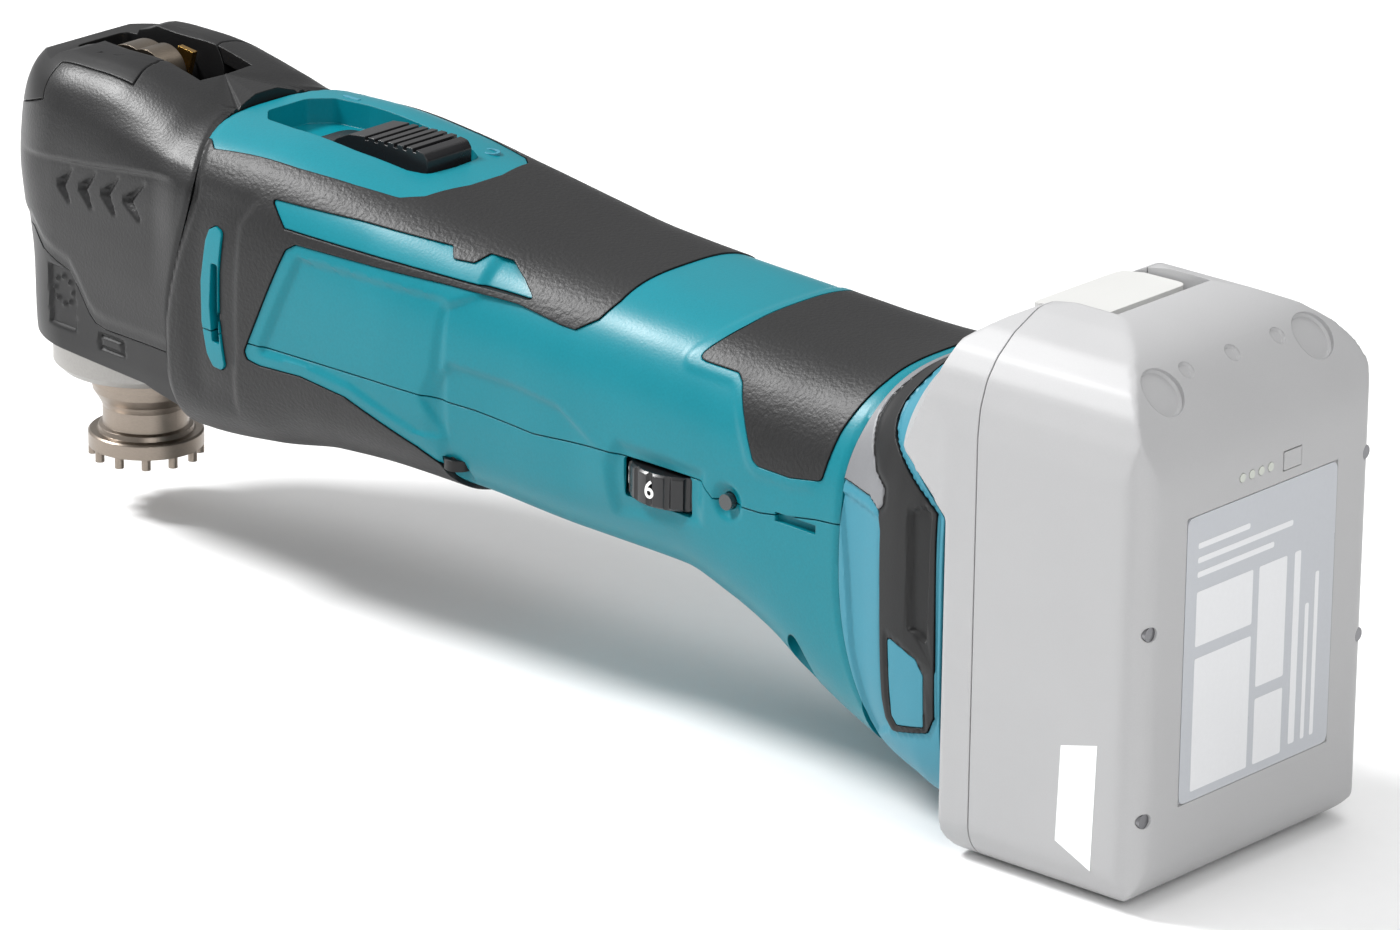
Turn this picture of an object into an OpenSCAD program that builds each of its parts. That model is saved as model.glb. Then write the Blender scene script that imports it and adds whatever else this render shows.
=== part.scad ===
// Cordless oscillating multi-tool with a slide-on battery pack.
// Origin: centre of the accessory flange's lower face, on the spindle axis.
// +Z runs up the spindle, +X from the head towards the battery, and the tool is mirrored about y = 0.

/* [Spindle] */
// Radius of the accessory flange
flange_r = 13; // [12.8:0.1:13.2]
// Thickness of the accessory flange
flange_t = 3.5; // [3:0.5:4]
// Radius of the circle of drive pins under the flange
pin_circle_r = 11.9; // [11.6:0.1:12]
// Radius of one drive pin
drive_pin_r = 1.05; // [0.9:0.05:1.1]
// Number of drive pins
drive_pins = 12; // [8:1:12]
// Radius of the bore that takes the holder bolt
holder_bore_r = 5; // [4.8:0.1:5.2]
// Radius of the spindle where the lower bearing sits
spindle_r = 8.45; // [8.4:0.01:8.46]

/* [Head] */
// Radius of the aluminium nose of the gear housing
nose_r = 20.5; // [20:0.1:20.5]
// Throw of the eccentric that swings the spindle
throw = 0.75; // [0.6:0.05:0.75]
// Distance of the lever's pivot behind the spindle axis
lever_x = 6; // [5.5:0.25:6.5]
// Height of the lever's pivot
lever_z = 86.5; // [86.25:0.25:86.75]

/* [Body] */
// Height of the motor axis
motor_z = 52; // [51.5:0.25:52.5]
// Radius of the motor can
motor_r = 23.5; // [23:0.25:23.5]
// Thickness of the moulded shells
wall = 2.4; // [2:0.2:2.6]
// Depth of the rubber overmould
grip_t = 1.2; // [1:0.1:1.4]
// Height of the seam between the upper and lower housing
seam_z = 46.4; // [46.2:0.1:47]
// Radius of the speed dial
dial_r = 12.4; // [12:0.1:12.6]

/* [Battery] */
// Half width of the battery
pack_w = 37.5; // [37:0.25:37.5]
// Where the battery's front face stands
pack_x = 262; // [262:0.1:262.2]
// Where the battery's end face stands
pack_end = 312.3; // [312:0.1:313]
// Height of the battery's top
pack_top = 100; // [100:0.1:100.4]
// Height of the battery's underside
pack_low = -14.6; // [-15:0.1:-14.4]
// Radius of a battery cell
cell_r = 9.1; // [9:0.05:9.15]

/* [Hidden] */
$fn = 64;
eps = 0.01;
big = 400;
seam_gap = 0.4;

// Cross-sections of the body: x, half width, top, bottom, top exponent, bottom exponent, widest height
body_stations = [
  [30, 31.4, 88.0, 16.5, 4.0, 3.4, 50],
  [42, 31.6, 88.2, 16.5, 4.0, 3.4, 50],
  [60, 33.0, 88.5, 17.5, 3.8, 3.0, 50],
  [80, 33.0, 87.0, 20.5, 3.6, 2.8, 50],
  [100, 33.0, 84.2, 21.5, 3.4, 2.8, 50],
  [120, 32.3, 81.7, 21.0, 3.2, 2.8, 49],
  [140, 31.3, 79.6, 20.0, 3.0, 2.8, 48],
  [160, 31.0, 78.2, 19.5, 3.0, 2.8, 47],
  [180, 31.3, 77.2, 19.0, 3.0, 2.8, 46],
  [195, 31.8, 76.4, 15.0, 3.0, 2.9, 44],
  [207, 32.4, 75.8, 10.0, 3.0, 3.0, 42],
  [218, 33.0, 75.6, 3.5, 3.0, 3.2, 40],
  [232, 34.0, 76.2, -2.8, 3.0, 3.4, 38],
  [238, 34.9, 78.2, -4.4, 3.0, 3.6, 38],
  [244, 36.3, 81.6, -5.4, 3.0, 4.0, 38],
  [250, 37.1, 84.0, -6.2, 3.2, 4.5, 38],
  [256, 37.4, 85.0, -7.6, 3.4, 5.0, 38],
  [263, 37.4, 85.0, -9.4, 3.4, 5.0, 38]];
ring_points = 36;
// Levels of the head: z, radius about the spindle axis, half width where the head meets the body
head_levels = [
  [22, 23.4, 25.0], [30, 24.4, 28.4], [45, 24.8, 30.8], [52, 25.4, 31.4], [59, 26.3, 31.5],
  [68, 27.0, 31.4], [76, 26.6, 30.6], [82, 25.8, 28.6], [87, 24.6, 24.6], [90.5, 22.4, 20.6],
  [93, 18.6, 16.4], [94.6, 14.6, 12.6]];
head_end = 58;
head_roof = [[-40, 96], [12, 94.6], [20, 93], [30, 90.6], [38, 88.2], [60, 88.2], [60, 0], [-40, 0]];
// Lower edge of the head cover and of the lever, seen from the side
cover_edge = [[-40, 54], [-12, 53.4], [-7.6, 49.4], [-3, 47.8], [2, 46.6], [4.8, 43.4], [8.4, 38.4], [14, 36], [30, 36.3],
  [60, 36.3]];
lever_edge = [[-40, 72.6], [-24, 78], [5, 88], [15.6, 92.6]];
// Where the rubber lies on the body, seen from the side
front_grip_side = [[20, 5], [114, 5], [114, 30], [112, 34], [104, 37], [93, 41], [80, 42.6], [68, 42.2],
  [64.5, 42.8], [63.7, 44.4], [75.4, 69.6], [78, 71.2], [120, 71.2], [138, 70.6], [150, 69],
  [154, 68.8], [158.6, 71.6], [160.5, 75], [161, 100], [20, 100]];
stripe_side = [[69, 78.9], [74.1, 74], [106, 73.2], [141.2, 72], [136.4, 74.8], [131, 77.2],
  [125.4, 77.6], [123.4, 75.8], [118.3, 75.8], [116.3, 77.8], [92.5, 78.8]];
vent_side = [[51.2, 66.4], [52.2, 69], [54, 70], [56.2, 69.2], [55.4, 60], [55.4, 50], [57, 39.4],
  [56, 38.2], [53.4, 38.4], [51.6, 41], [50, 48], [49.8, 57]];
bezel_top = [[20, 22], [43.4, 22], [47, 24.8], [71, 23.4], [86, 21.6], [95.6, 19], [101, 12.4],
  [102.9, 5]];
rear_grip_side = [[185.4, 69.8], [197.5, 69.4], [199.5, 68], [203.1, 61.8], [207, 54.5], [208.5, 53.6],
  [217.3, 53.4], [226, 54.8], [228, 65], [231, 74], [232.5, 100], [191.5, 100], [191, 76]];
// Side outline of the black bumper and of its badge
bumper_side = [[220, 57.5], [243, 55], [244.4, 53], [245.6, 14.4], [248, 7.6], [258.5, 10.4],
  [260.6, 14.3], [259.8, 56], [240, 76], [240, 110], [220, 110]];
badge_side = [[247.6, 27.2], [255.4, 24], [257.4, 21.6], [258.4, 12.6], [250, 10]];

// Slide switch, dial, lamp and battery rail sizes
recess_floor = 82.6;
dial_at = [180, -20.8, 41.7];
dial_h = 7.4;
lamp_at = [200.3, 44];
rail_face = 253;
rail_neck = 258.4;
rail_w = 24;
neck_w = 21;
rail_low = -4;
blade_y = 11;
blade_t = 0.8;
button_travel = 4.5;
cell_pitch = 18.4;
pocket_r = 12;
arm_w = 19.2;
cam_r = 6.2;
ring_coarse = 28;
slot_w = 8;
screw_r = 1.9;
housing_screw_at = [[121, 27, 33], [218, 27.6, 24]];
head_screw_at = [[23, 74], [22, 30]];
pack_screw_at = [[-34, 44.7], [-34, 5.5], [34, 65], [34, 26]];

function clamped(t) = max(0, min(1, t));
function smooth(t) = let (u = clamped(t)) u * u * (3 - 2 * u);
function signed_power(v, p) = sign(v) * pow(abs(v), p);
function station(x, k) = lookup(x, [for (s = body_stations) [s[0], s[k]]]);
function arc(cx, cy, r, a0, a1, n = 8) =
  [for (i = [0:n]) let (a = a0 + (a1 - a0) * i / n) [cx + r * cos(a), cy + r * sin(a)]];
function mirrored(half) = concat(half, [for (i = [len(half) - 1:-1:0]) [half[i][0], -half[i][1]]]);
// Superellipse outline of the body at one station, grown outwards by a set amount
function body_ring(x, grow, points) =
  let (w = station(x, 1) + grow, widest = station(x, 6))
  [for (i = [0:points - 1])
    let (a = 360 * i / points, up = sin(a) >= 0,
      n = up ? station(x, 4) : station(x, 5),
      h = up ? station(x, 2) + grow - widest : widest - station(x, 3) + grow)
    [signed_power(cos(a), 2 / n) * w, widest + signed_power(sin(a), 2 / n) * h]];
// Where the head cover ends, and where the body ends at the rear module
function front_gap(y, z) =
  36.8 + 1.7 * clamped((z - 23) / 29) + 0.0085 * y * y * smooth((z - 45) / 37);
function rear_gap(z) = 231.6 + 0.0066 * pow(max(0, 40 - z), 2) + 2.4 * smooth((z - 56) / 20);

module body_slice(x, grow, points)
  translate([x, 0, 0]) rotate([90, 0, 90]) linear_extrude(eps) polygon(body_ring(x, grow, points));

module body_loft(x0, x1, grow, points = ring_points) {
  xs = concat([x0], [for (s = body_stations) if (s[0] > x0 && s[0] < x1) s[0]], [x1]);
  for (i = [0:len(xs) - 2])
    hull() {
      body_slice(xs[i], grow, points);
      body_slice(xs[i + 1] - eps, grow, points);
    }
}

// Prisms from outlines drawn in the side, top and front views
module side_prism(outline, half = big)
  rotate([90, 0, 0]) linear_extrude(2 * half, center = true) polygon(outline);
module top_prism(outline, z0, z1)
  translate([0, 0, z0]) linear_extrude(z1 - z0) polygon(outline);
module front_prism(outline, x0, x1)
  translate([x0, 0, 0]) rotate([90, 0, 90]) linear_extrude(x1 - x0) polygon(outline);
module box(low, high) translate(low) cube(high - low);
module mirror_y() {
  children();
  mirror([0, 1, 0]) children();
}

// Everything behind the joint between the head cover and the body
module behind_front_gap(shift) {
  levels = [0, 23, 38, 52, 60, 68, 75, 82, 110];
  for (i = [0:len(levels) - 2])
    hull() for (z = [levels[i], levels[i + 1] - eps])
      translate([0, 0, z]) linear_extrude(eps)
        polygon(concat([for (y = [-48:8:48]) [front_gap(y, z) + shift, y]], [[300, 48], [300, -48]]));
}

module ahead_of_rear_gap(shift)
  side_prism(concat([[-60, -60]], [for (z = [-60:10:120]) [rear_gap(z) + shift, z]], [[-60, 120]]));

// One level of the head: round in front, and running straight back past the joint with the body
module head_slice(z, radius, width)
  translate([0, 0, z]) linear_extrude(eps) hull() {
    circle(radius, $fn = 48);
    translate([head_end - 1, 0])
      square([2, 2 * radius + 2 * (width - radius) * head_end / 46], center = true);
  }

module head_loft(grow) {
  n = len(head_levels);
  intersection() {
    for (i = [0:n - 2])
      hull() for (l = [head_levels[i], head_levels[i + 1]])
        head_slice(l[0] + (i == n - 2 && l[0] > 94 ? grow : 0) - (l == head_levels[i] ? 0 : eps),
          l[1] + grow, l[2] + grow);
    side_prism([for (p = head_roof) [p[0], p[1] > 50 ? p[1] + grow : p[1]]]);
  }
}

// Turned parts along the motor axis
module along_x(x0) translate([x0, 0, motor_z]) rotate([0, 90, 0]) children();
module tube(r_out, r_in, h) difference() {
  cylinder(h = h, r = r_out);
  translate([0, 0, -1]) cylinder(h = h + 2, r = r_in);
}

// Ball bearing: two grooved rings and their balls
module bearing(r_in, r_out, w, balls) {
  mid = (r_in + r_out) / 2;
  ball = min(w * 0.3, (r_out - r_in) * 0.28);
  land = (r_out - r_in) * 0.3;
  difference() {
    union() {
      tube(r_in + land, r_in, w);
      tube(r_out, r_out - land, w);
    }
    translate([0, 0, w / 2]) rotate_extrude() translate([mid, 0]) circle(ball + 0.05);
  }
  for (i = [0:balls - 1])
    rotate([0, 0, 360 * i / balls]) translate([mid, 0, w / 2]) sphere(ball);
}

// Screw along +Z with its head's underside at z = 0 and the shank upwards
module screw(shank_r, length, head_r, head_h) difference() {
  union() {
    cylinder(h = length, r = shank_r);
    translate([0, 0, -head_h]) cylinder(h = head_h, r = head_r);
  }
  translate([0, 0, -head_h - eps]) cylinder(h = head_h * 0.6, r = head_r * 0.5, $fn = 6);
}

// Closed rings standing in for the turns of a compression spring
module coil_rings(radius, wire, length, turns)
  for (i = [0:turns - 1])
    translate([0, 0, wire + i * (length - 2 * wire) / (turns - 1)])
      rotate_extrude() translate([radius, 0]) circle(wire);

// ---- Spindle and accessory clamp ----

module spindle() color([0.56, 0.52, 0.47]) {
  difference() {
    rotate_extrude() polygon([[0, 0], [flange_r, 0], [flange_r, flange_t - 0.4],
      [flange_r - 0.4, flange_t], [11, flange_t], [10.6, 4.6], [9.7, 5], [9.7, 9.4], [10.4, 11],
      [11.8, 13.2], [12.2, 15], [12.2, 18.6], [11, 19.4], [11, 22.5], [spindle_r, 22.5],
      [spindle_r, 58.4], [5.95, 58.4], [5.95, 64.3], [0, 64.3]]);
    translate([0, 0, -1]) cylinder(h = 22, r = holder_bore_r);
    translate([0, 0, 17]) cylinder(h = 21, r = 6);
    cylinder(h = 80, r = 3);
  }
  for (i = [0:drive_pins - 1])
    rotate([0, 0, 360 * (i + 0.5) / drive_pins]) translate([pin_circle_r, 0, -2.5])
      cylinder(h = 3, r = drive_pin_r);
}

module swing_fork() color([0.45, 0.45, 0.47])
  translate([0, 0, 46]) difference() {
    union() {
      cylinder(h = 11.7, r = 12);
      for (s = [-1, 1]) translate([0, s * 10.3 - 2, 1]) cube([32, 4, 10]);
    }
    translate([0, 0, -1]) cylinder(h = 14, r = spindle_r);
  }

module holder_clamp() color([0.5, 0.5, 0.52])
  translate([0, 0, 21]) difference() {
    tube(5.9, 3.4, 12);
    translate([-10, -0.75, -1]) cube([20, 1.5, 10]);
  }

module clamp_rod() color([0.6, 0.6, 0.62]) {
  translate([0, 0, 33]) cylinder(h = 47, r = 2.95);
  translate([0, 0, 33]) cylinder(h = 1.4, r = 5.4);
  translate([0, 0, 78.9]) cylinder(h = 2.45, r = 5.6);
}

module clamp_spring() color([0.7, 0.7, 0.72])
  translate([0, 0, 65.5]) coil_rings(4.6, 0.5, 13.4, 7);

// ---- Head ----

module lever_zone(gap)
  side_prism(concat([for (p = lever_edge) [p[0], p[1] + gap]], [[15.6, 130], [-40, 130]]), 60);

module lever() color([0.12, 0.12, 0.13]) difference() {
  intersection() {
    head_loft(0);
    lever_zone(0.2);
    union() {
      difference() {
        box([-40, -60, 0], [lever_x, 60, 120]);
        translate([lever_x, 0, lever_z]) rotate([90, 0, 0])
          cylinder(h = 130, r = pocket_r + 0.25, center = true);
      }
      box([-40, -arm_w, 0], [lever_x, arm_w, 120]);
      translate([lever_x, 0, lever_z]) rotate([90, 0, 0])
        cylinder(h = 2 * arm_w, r = pocket_r - 0.5, center = true);
    }
  }
  box([-13, -slot_w, 60], [40, slot_w, 120]);
  translate([lever_x, 0, lever_z]) rotate([90, 0, 0]) cylinder(h = 34.94, r = 5.03, center = true);
}

module lever_hub() color([0.12, 0.12, 0.13])
  mirror_y() translate([lever_x, slot_w + 0.05, lever_z]) rotate([-90, 0, 0]) difference() {
    cylinder(h = 9.4, r = 5);
    translate([0, 0, -1]) cylinder(h = 12, r = 2.2);
  }

module lever_pin() color([0.6, 0.6, 0.6])
  translate([lever_x, 17.4, lever_z]) rotate([90, 0, 0]) cylinder(h = 34.8, r = 2.2);

module lever_cam() color([0.5, 0.47, 0.42])
  translate([0, 1, 0]) rotate([90, 0, 0]) linear_extrude(6.8) difference() {
    union() {
      translate([lever_x + 0.75, lever_z + 1.3]) circle(cam_r);
      intersection() {
        translate([1.5, 85.1]) circle(8.8);
        translate([-20, 81.7]) square(40);
      }
    }
    translate([lever_x, lever_z]) circle(2.2);
  }

module cam_plate() color([0.72, 0.58, 0.3])
  translate([0, 4.6, 0]) rotate([90, 0, 0]) linear_extrude(1.4) difference() {
    union() {
      translate([lever_x, lever_z]) circle(4.9);
      polygon([[3, 85], [10, 84], [12.6, 92.6], [8, 93.2]]);
    }
    translate([lever_x, lever_z]) circle(2.2);
  }

module lever_bracket() color([0.16, 0.16, 0.17]) difference() {
  union() {
    mirror_y() {
      box([lever_x - 3.5, 6, 70], [lever_x + 3.5, 7.7, lever_z]);
      translate([lever_x, 6, lever_z]) rotate([-90, 0, 0]) cylinder(h = 1.7, r = 3.5);
    }
    box([lever_x - 3.5, -7.7, 68.5], [18, 7.7, 70.5]);
  }
  translate([0, 0, 60]) cylinder(h = 15, r = 6.2);
  translate([lever_x, 0, lever_z]) rotate([90, 0, 0]) cylinder(h = 40, r = 2.25, center = true);
}

module gear_housing() color([0.78, 0.79, 0.8]) difference() {
  union() {
    rotate_extrude() polygon([[0, 19], [nose_r - 1.6, 19], [nose_r, 20.6], [nose_r, 68.5], [0, 68.5]]);
    box([0, -18, 34], [37, 18, 68.5]);
    box([35.2, -25, 28], [38.6, 25, 77]);
  }
  translate([0, 0, 18]) cylinder(h = 3, r = 12.7);
  translate([0, 0, 20.5]) cylinder(h = 12.5, r = 17.5);
  translate([0, 0, 32]) cylinder(h = 26, r = 16.5);
  translate([0, 0, 50]) cylinder(h = 14.5, r = 12);
  translate([0, 0, 60]) cylinder(h = 20, r = 3.5);
  translate([0, 0, 65.5]) cylinder(h = 20, r = 6.2);
  box([13.6, -14.6, 40], [45, 14.6, 63]);
  box([10, -14.6, 44], [20, 14.6, 58]);
  for (p = head_screw_at, s = [-1, 1])
    translate([30, s * p[0], p[1]]) rotate([0, 90, 0]) cylinder(h = 20, r = screw_r);
}

module lower_bearing() color([0.7, 0.7, 0.72]) translate([0, 0, 22.5]) bearing(8.5, 17.5, 10, 10);
module upper_bearing() color([0.7, 0.7, 0.72]) translate([0, 0, 58.5]) bearing(6, 12, 6, 11);
module spindle_seal() color([0.1, 0.1, 0.1]) translate([0, 0, 20.5]) tube(17.5, 11.1, 1.9);

module head_cover() color([0.2, 0.2, 0.21]) difference() {
  head_loft(0);
  behind_front_gap(-seam_gap);
  side_prism(concat([[60, -20], [-40, -20]], cover_edge));
  // room for the gear housing and the motor's flange
  translate([0, 0, 10]) cylinder(h = 58.9, r = 21);
  box([0, -19, 20], [60, 19, 69]);
  intersection() {
    head_loft(-wall);
    box([-60, -60, 0], [60, 60, 84]);
    box([8, -60, 0], [60, 60, 90]);
  }
  // the lever's place, its pocket and the slot between its arms
  intersection() {
    lever_zone(-0.2);
    union() {
      difference() {
        box([-60, -60, 0], [lever_x, 60, 120]);
        translate([lever_x, 0, lever_z]) rotate([90, 0, 0])
          cylinder(h = 130, r = pocket_r, center = true);
      }
      box([-60, -arm_w - 0.35, 0], [lever_x, arm_w + 0.35, 120]);
    }
  }
  translate([lever_x, 0, lever_z]) rotate([90, 0, 0])
    cylinder(h = 2 * arm_w + 0.7, r = pocket_r, center = true);
  box([-13, -slot_w, 68.9], [26, slot_w, 120]);
}

module nose_guard() color([0.1, 0.1, 0.11]) difference() {
  head_loft(-0.5);
  behind_front_gap(-seam_gap);
  side_prism(concat([[60, 130], [-40, 130]], [for (p = cover_edge) [p[0], p[1] - 0.3]]));
  side_prism([[-60, -20], [60, -20], [60, 22.4], [36, 23], [28, 25], [25, 26], [-60, 30]]);
  translate([0, 0, 10]) cylinder(h = 80, r = nose_r + 0.15);
  box([0, -18.2, 10], [60, 18.2, 69]);
  box([34.6, -26, 27], [60, 26, 90]);
  mirror_y() translate([32.3, head_screw_at[1][0], head_screw_at[1][1]]) rotate([0, 90, 0])
    cylinder(h = 6, r = 3.5);
}

module head_screws() color([0.35, 0.35, 0.36])
  for (p = head_screw_at, s = [-1, 1])
    translate([35.2, s * p[0], p[1]]) rotate([0, 90, 0]) screw(screw_r - 0.1, 20, 3.2, 2.4);

// ---- Motor ----

module motor_can() color([0.62, 0.63, 0.65]) along_x(42) difference() {
  cylinder(h = 52, r = motor_r);
  difference() {
    translate([0, 0, 2]) cylinder(h = 60, r = motor_r - 2);
    cylinder(h = 7.5, r = 13);
  }
  translate([0, 0, -1]) cylinder(h = 20, r = 11);
}

module motor_magnets() color([0.25, 0.25, 0.27]) along_x(59) difference() {
  tube(motor_r - 2.05, 17.6, 27);
  for (a = [0, 90]) rotate([0, 0, a]) box([-30, -4, -1], [30, 4, 40]);
}

module motor_end_bell() color([0.15, 0.15, 0.16]) along_x(94) difference() {
  cylinder(h = 10, r = motor_r);
  translate([0, 0, -1]) cylinder(h = 4.5, r = motor_r - 2);
  translate([0, 0, -1]) cylinder(h = 20, r = 5);
  translate([0, 0, 4]) cylinder(h = 20, r = 9.5);
}

module motor_bearings() color([0.7, 0.7, 0.72]) {
  along_x(42) bearing(4, 11, 7, 7);
  along_x(98) bearing(4, 9.5, 6, 7);
}

module carbon_brushes() color([0.18, 0.18, 0.18])
  mirror_y() box([90.5, 8.3, motor_z - 2.6], [94.5, 17, motor_z + 2.6]);

module brush_holders() color([0.72, 0.6, 0.3])
  mirror_y() difference() {
    box([89.3, 10.5, motor_z - 3.8], [95.7, 20.5, motor_z + 3.8]);
    box([90.5, 10, motor_z - 2.6], [94.5, 19.5, motor_z + 2.6]);
  }

module rotor_shaft() color([0.65, 0.65, 0.67]) along_x(33) cylinder(h = 70.5, r = 3.95);

module armature_core() color([0.4, 0.4, 0.42]) along_x(61) difference() {
  tube(17, 3.95, 22);
  for (i = [0:9]) rotate([0, 0, 36 * i]) box([9, -1.6, -1], [20, 1.6, 30]);
}

module armature_windings() color([0.72, 0.36, 0.16]) {
  along_x(56.4) tube(15.6, 3.95, 4.6);
  along_x(83) tube(15.6, 3.95, 5);
}

module commutator() color([0.74, 0.45, 0.24]) along_x(88.4) difference() {
  tube(8, 3.95, 8.6);
  for (i = [0:9]) rotate([0, 0, 36 * i]) box([7.2, -0.3, -1], [10, 0.3, 12]);
}

module cooling_fan() color([0.13, 0.13, 0.13]) along_x(50.4) {
  tube(20, 3.95, 1.4);
  tube(8, 3.95, 5.4);
  for (i = [0:10]) rotate([0, 0, 360 * i / 11]) box([7.5, -0.7, 1], [19.6, 0.7, 5.2]);
}

module eccentric_shaft() color([0.55, 0.55, 0.58]) {
  along_x(31) difference() {
    cylinder(h = 7, r = 6);
    translate([0, 0, 2]) cylinder(h = 10, r = 3.95);
  }
  translate([23, 0, motor_z + throw]) rotate([0, 90, 0]) cylinder(h = 8.5, r = 3);
}

module eccentric_bearing() color([0.7, 0.7, 0.72])
  translate([24.5, 0, motor_z + throw]) rotate([0, 90, 0]) bearing(3, 6.5, 5, 7);

// ---- Body ----

module front_grip_zone() difference() {
  side_prism(front_grip_side, 60);
  mirror_y() intersection() {
    union() {
      side_prism(stripe_side, 60);
      side_prism(vent_side, 60);
    }
    box([0, 12, 0], [300, 60, 120]);
  }
  top_prism(mirrored(bezel_top), 60, 120);
}

module grip_skin(x0, x1) difference() {
  body_loft(x0, x1, 0.3);
  body_loft(x0 - 1, x1 + 1, -grip_t);
}

module front_grip() color([0.22, 0.22, 0.23]) intersection() {
  grip_skin(32, 165);
  behind_front_gap(0);
  front_grip_zone();
  screw_channels(false);
}

module rear_grip() color([0.22, 0.22, 0.23]) intersection() {
  grip_skin(180, 236);
  ahead_of_rear_gap(-0.8);
  side_prism(rear_grip_side, 60);
}

// Counterbores for the housing screws, open downwards, or the space outside them
module screw_channels(cut) {
  if (cut) {
    for (p = housing_screw_at) mirror_y()
      translate([p[0], p[1], -20]) cylinder(h = p[2] + 20, r = 3.5, $fn = 32);
  } else difference() {
    box([-60, -60, -40], [300, 60, 130]);
    screw_channels(true);
  }
}

module screw_bosses(z0, z1) intersection() {
  body_loft(32, 236, -0.6);
  for (p = housing_screw_at) mirror_y()
    translate([p[0], p[1], z0]) cylinder(h = z1 - z0, r = 5, $fn = 32);
}

// Shell, ribs and bosses that both housing halves are cut from
module housing_body() difference() {
  union() {
    difference() {
      body_loft(32, 236, 0);
      body_loft(31, 237, -grip_t - wall, ring_coarse);
    }
    intersection() {
      body_loft(32, 236, -0.6);
      difference() {
        union() {
          for (x = [62, 97]) box([x, -60, 0], [x + 2.4, 60, 120]);
          box([46, -60, 24], [54, 60, 34]);
          box([46, -60, 70], [54, 60, 78]);
        }
        along_x(20) cylinder(h = 100, r = motor_r + 0.2);
        box([40, -8, 60], [130, 8, 79.6]);
      }
    }
    screw_bosses(20, 62);
    intersection() {
      body_loft(32, 236, -0.6);
      box([42.6, -15, recess_floor - 2.4], [99, 15, 100]);
    }
  }
  intersection() {
    difference() {
      body_loft(30, 240, 2);
      body_loft(29, 241, -grip_t);
    }
    union() {
      front_grip_zone();
      side_prism(rear_grip_side, 60);
    }
  }
  screw_channels(true);
  for (p = housing_screw_at) mirror_y()
    translate([p[0], p[1], 0]) cylinder(h = 62, r = screw_r + 0.1, $fn = 32);
  for (p = head_screw_at, s = [-1, 1])
    translate([30, s * p[0], p[1]]) rotate([0, 90, 0]) cylinder(h = 26, r = screw_r + 0.1, $fn = 32);
  // recess and stem slot of the slide switch
  translate([0, 0, recess_floor]) linear_extrude(40) hull() {
    translate([55, 0]) circle(10.6, $fn = 40);
    for (s = [-1, 1]) translate([89, s * 5.4]) circle(5, $fn = 24);
  }
  box([66.6, -3.2, 60], [86.4, 3.2, 90]);
  // vents beside the fan
  mirror_y() box([53.4, 20, 46], [55.2, 60, 62]);
  // dial window and pocket, lamp hole and the shallow joint slot
  intersection() {
    translate([dial_at[0], dial_at[1], dial_at[2] - 4.2]) cylinder(h = 8.4, r = 13);
    box([160, -29.6, 30], [200, 0, 60]);
  }
  box([dial_at[0] - 9.6, -60, dial_at[2] - 4.2], [dial_at[0] + 9.6, -20, dial_at[2] + 4.2]);
  translate([lamp_at[0], -60, lamp_at[1]]) rotate([-90, 0, 0]) cylinder(h = 40, r = 1.85, $fn = 32);
  mirror_y() box([213.8, 31.4, 43.4], [225.2, 60, seam_z]);
}

module housing_half(z0, z1) intersection() {
  housing_body();
  behind_front_gap(0);
  ahead_of_rear_gap(0);
  box([0, -60, z0], [300, 60, z1]);
}

module housing_upper() color([0.0, 0.48, 0.56]) housing_half(seam_z + 0.1, 130);
module housing_lower() color([0.0, 0.48, 0.56]) housing_half(-40, seam_z);

module housing_screws() color([0.3, 0.3, 0.31])
  for (p = housing_screw_at, s = [-1, 1])
    translate([p[0], s * p[1], p[2]]) screw(screw_r, 26, 3.2, 2.4);

// ---- Switch, dial and electronics ----

module switch_slider() color([0.1, 0.1, 0.11]) {
  difference() {
    union() {
      translate([0, 6.9, 0]) rotate([90, 0, 0]) linear_extrude(13.8)
        polygon([[63.2, recess_floor + 0.15], [92.6, recess_floor + 0.15], [92.6, 88.2], [91, 89.4],
          [86, 89.6], [78, 88.6], [73, 88.2], [70, 86.6], [66, 84.6], [63.2, 84.2]]);
      translate([74, -2.9, 79.2]) cube([11, 5.8, 5]);
    }
    for (i = [0:5]) box([76 + 2.6 * i, -8, 88.1 + 0.16 * i], [77 + 2.6 * i, 8, 95]);
  }
}

module switch_link() color([0.75, 0.75, 0.74]) {
  box([70, -4.5, 76.6], [100.1, 4.5, 79.2]);
  box([100, -4.5, 76.2], [115.4, 4.5, 78.4]);
  box([111.6, -3, 73], [115.4, 3, 76.3]);
}

module switch_unit() color([0.13, 0.13, 0.14]) {
  difference() {
    box([106, -9, 52], [134, 9, 74]);
    box([99, -3.4, 72.4], [117, 3.4, 75]);
  }
  mirror_y() box([134, 3, 56], [139, 5.5, 66]);
}

module speed_dial() color([0.08, 0.08, 0.09])
  translate([dial_at[0], dial_at[1], dial_at[2] - dial_h / 2]) difference() {
    cylinder(h = dial_h, r = dial_r);
    translate([0, 0, -1]) cylinder(h = 5, r = 3.05);
    for (i = [0:17]) rotate([0, 0, 20 * i + 10]) translate([dial_r + 0.3, 0, -1])
      cylinder(h = dial_h + 2, r = 0.9, $fn = 16);
  }

module dial_sensor() color([0.1, 0.3, 0.2]) {
  box([168, -21.4, 28.6], [192, -4, 30.2]);
  box([174, -23, 30.1], [186, -15, 37.2]);
  translate([dial_at[0], dial_at[1], 37.2]) cylinder(h = 4.6, r = 3);
}

module speed_controller() color([0.2, 0.2, 0.21]) {
  difference() {
    box([108, -17, 28], [160, 17, 46]);
    box([110, -15, 30], [158, 15, 50]);
  }
  box([110, -15, 30], [158, 15, 42]);
}

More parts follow.
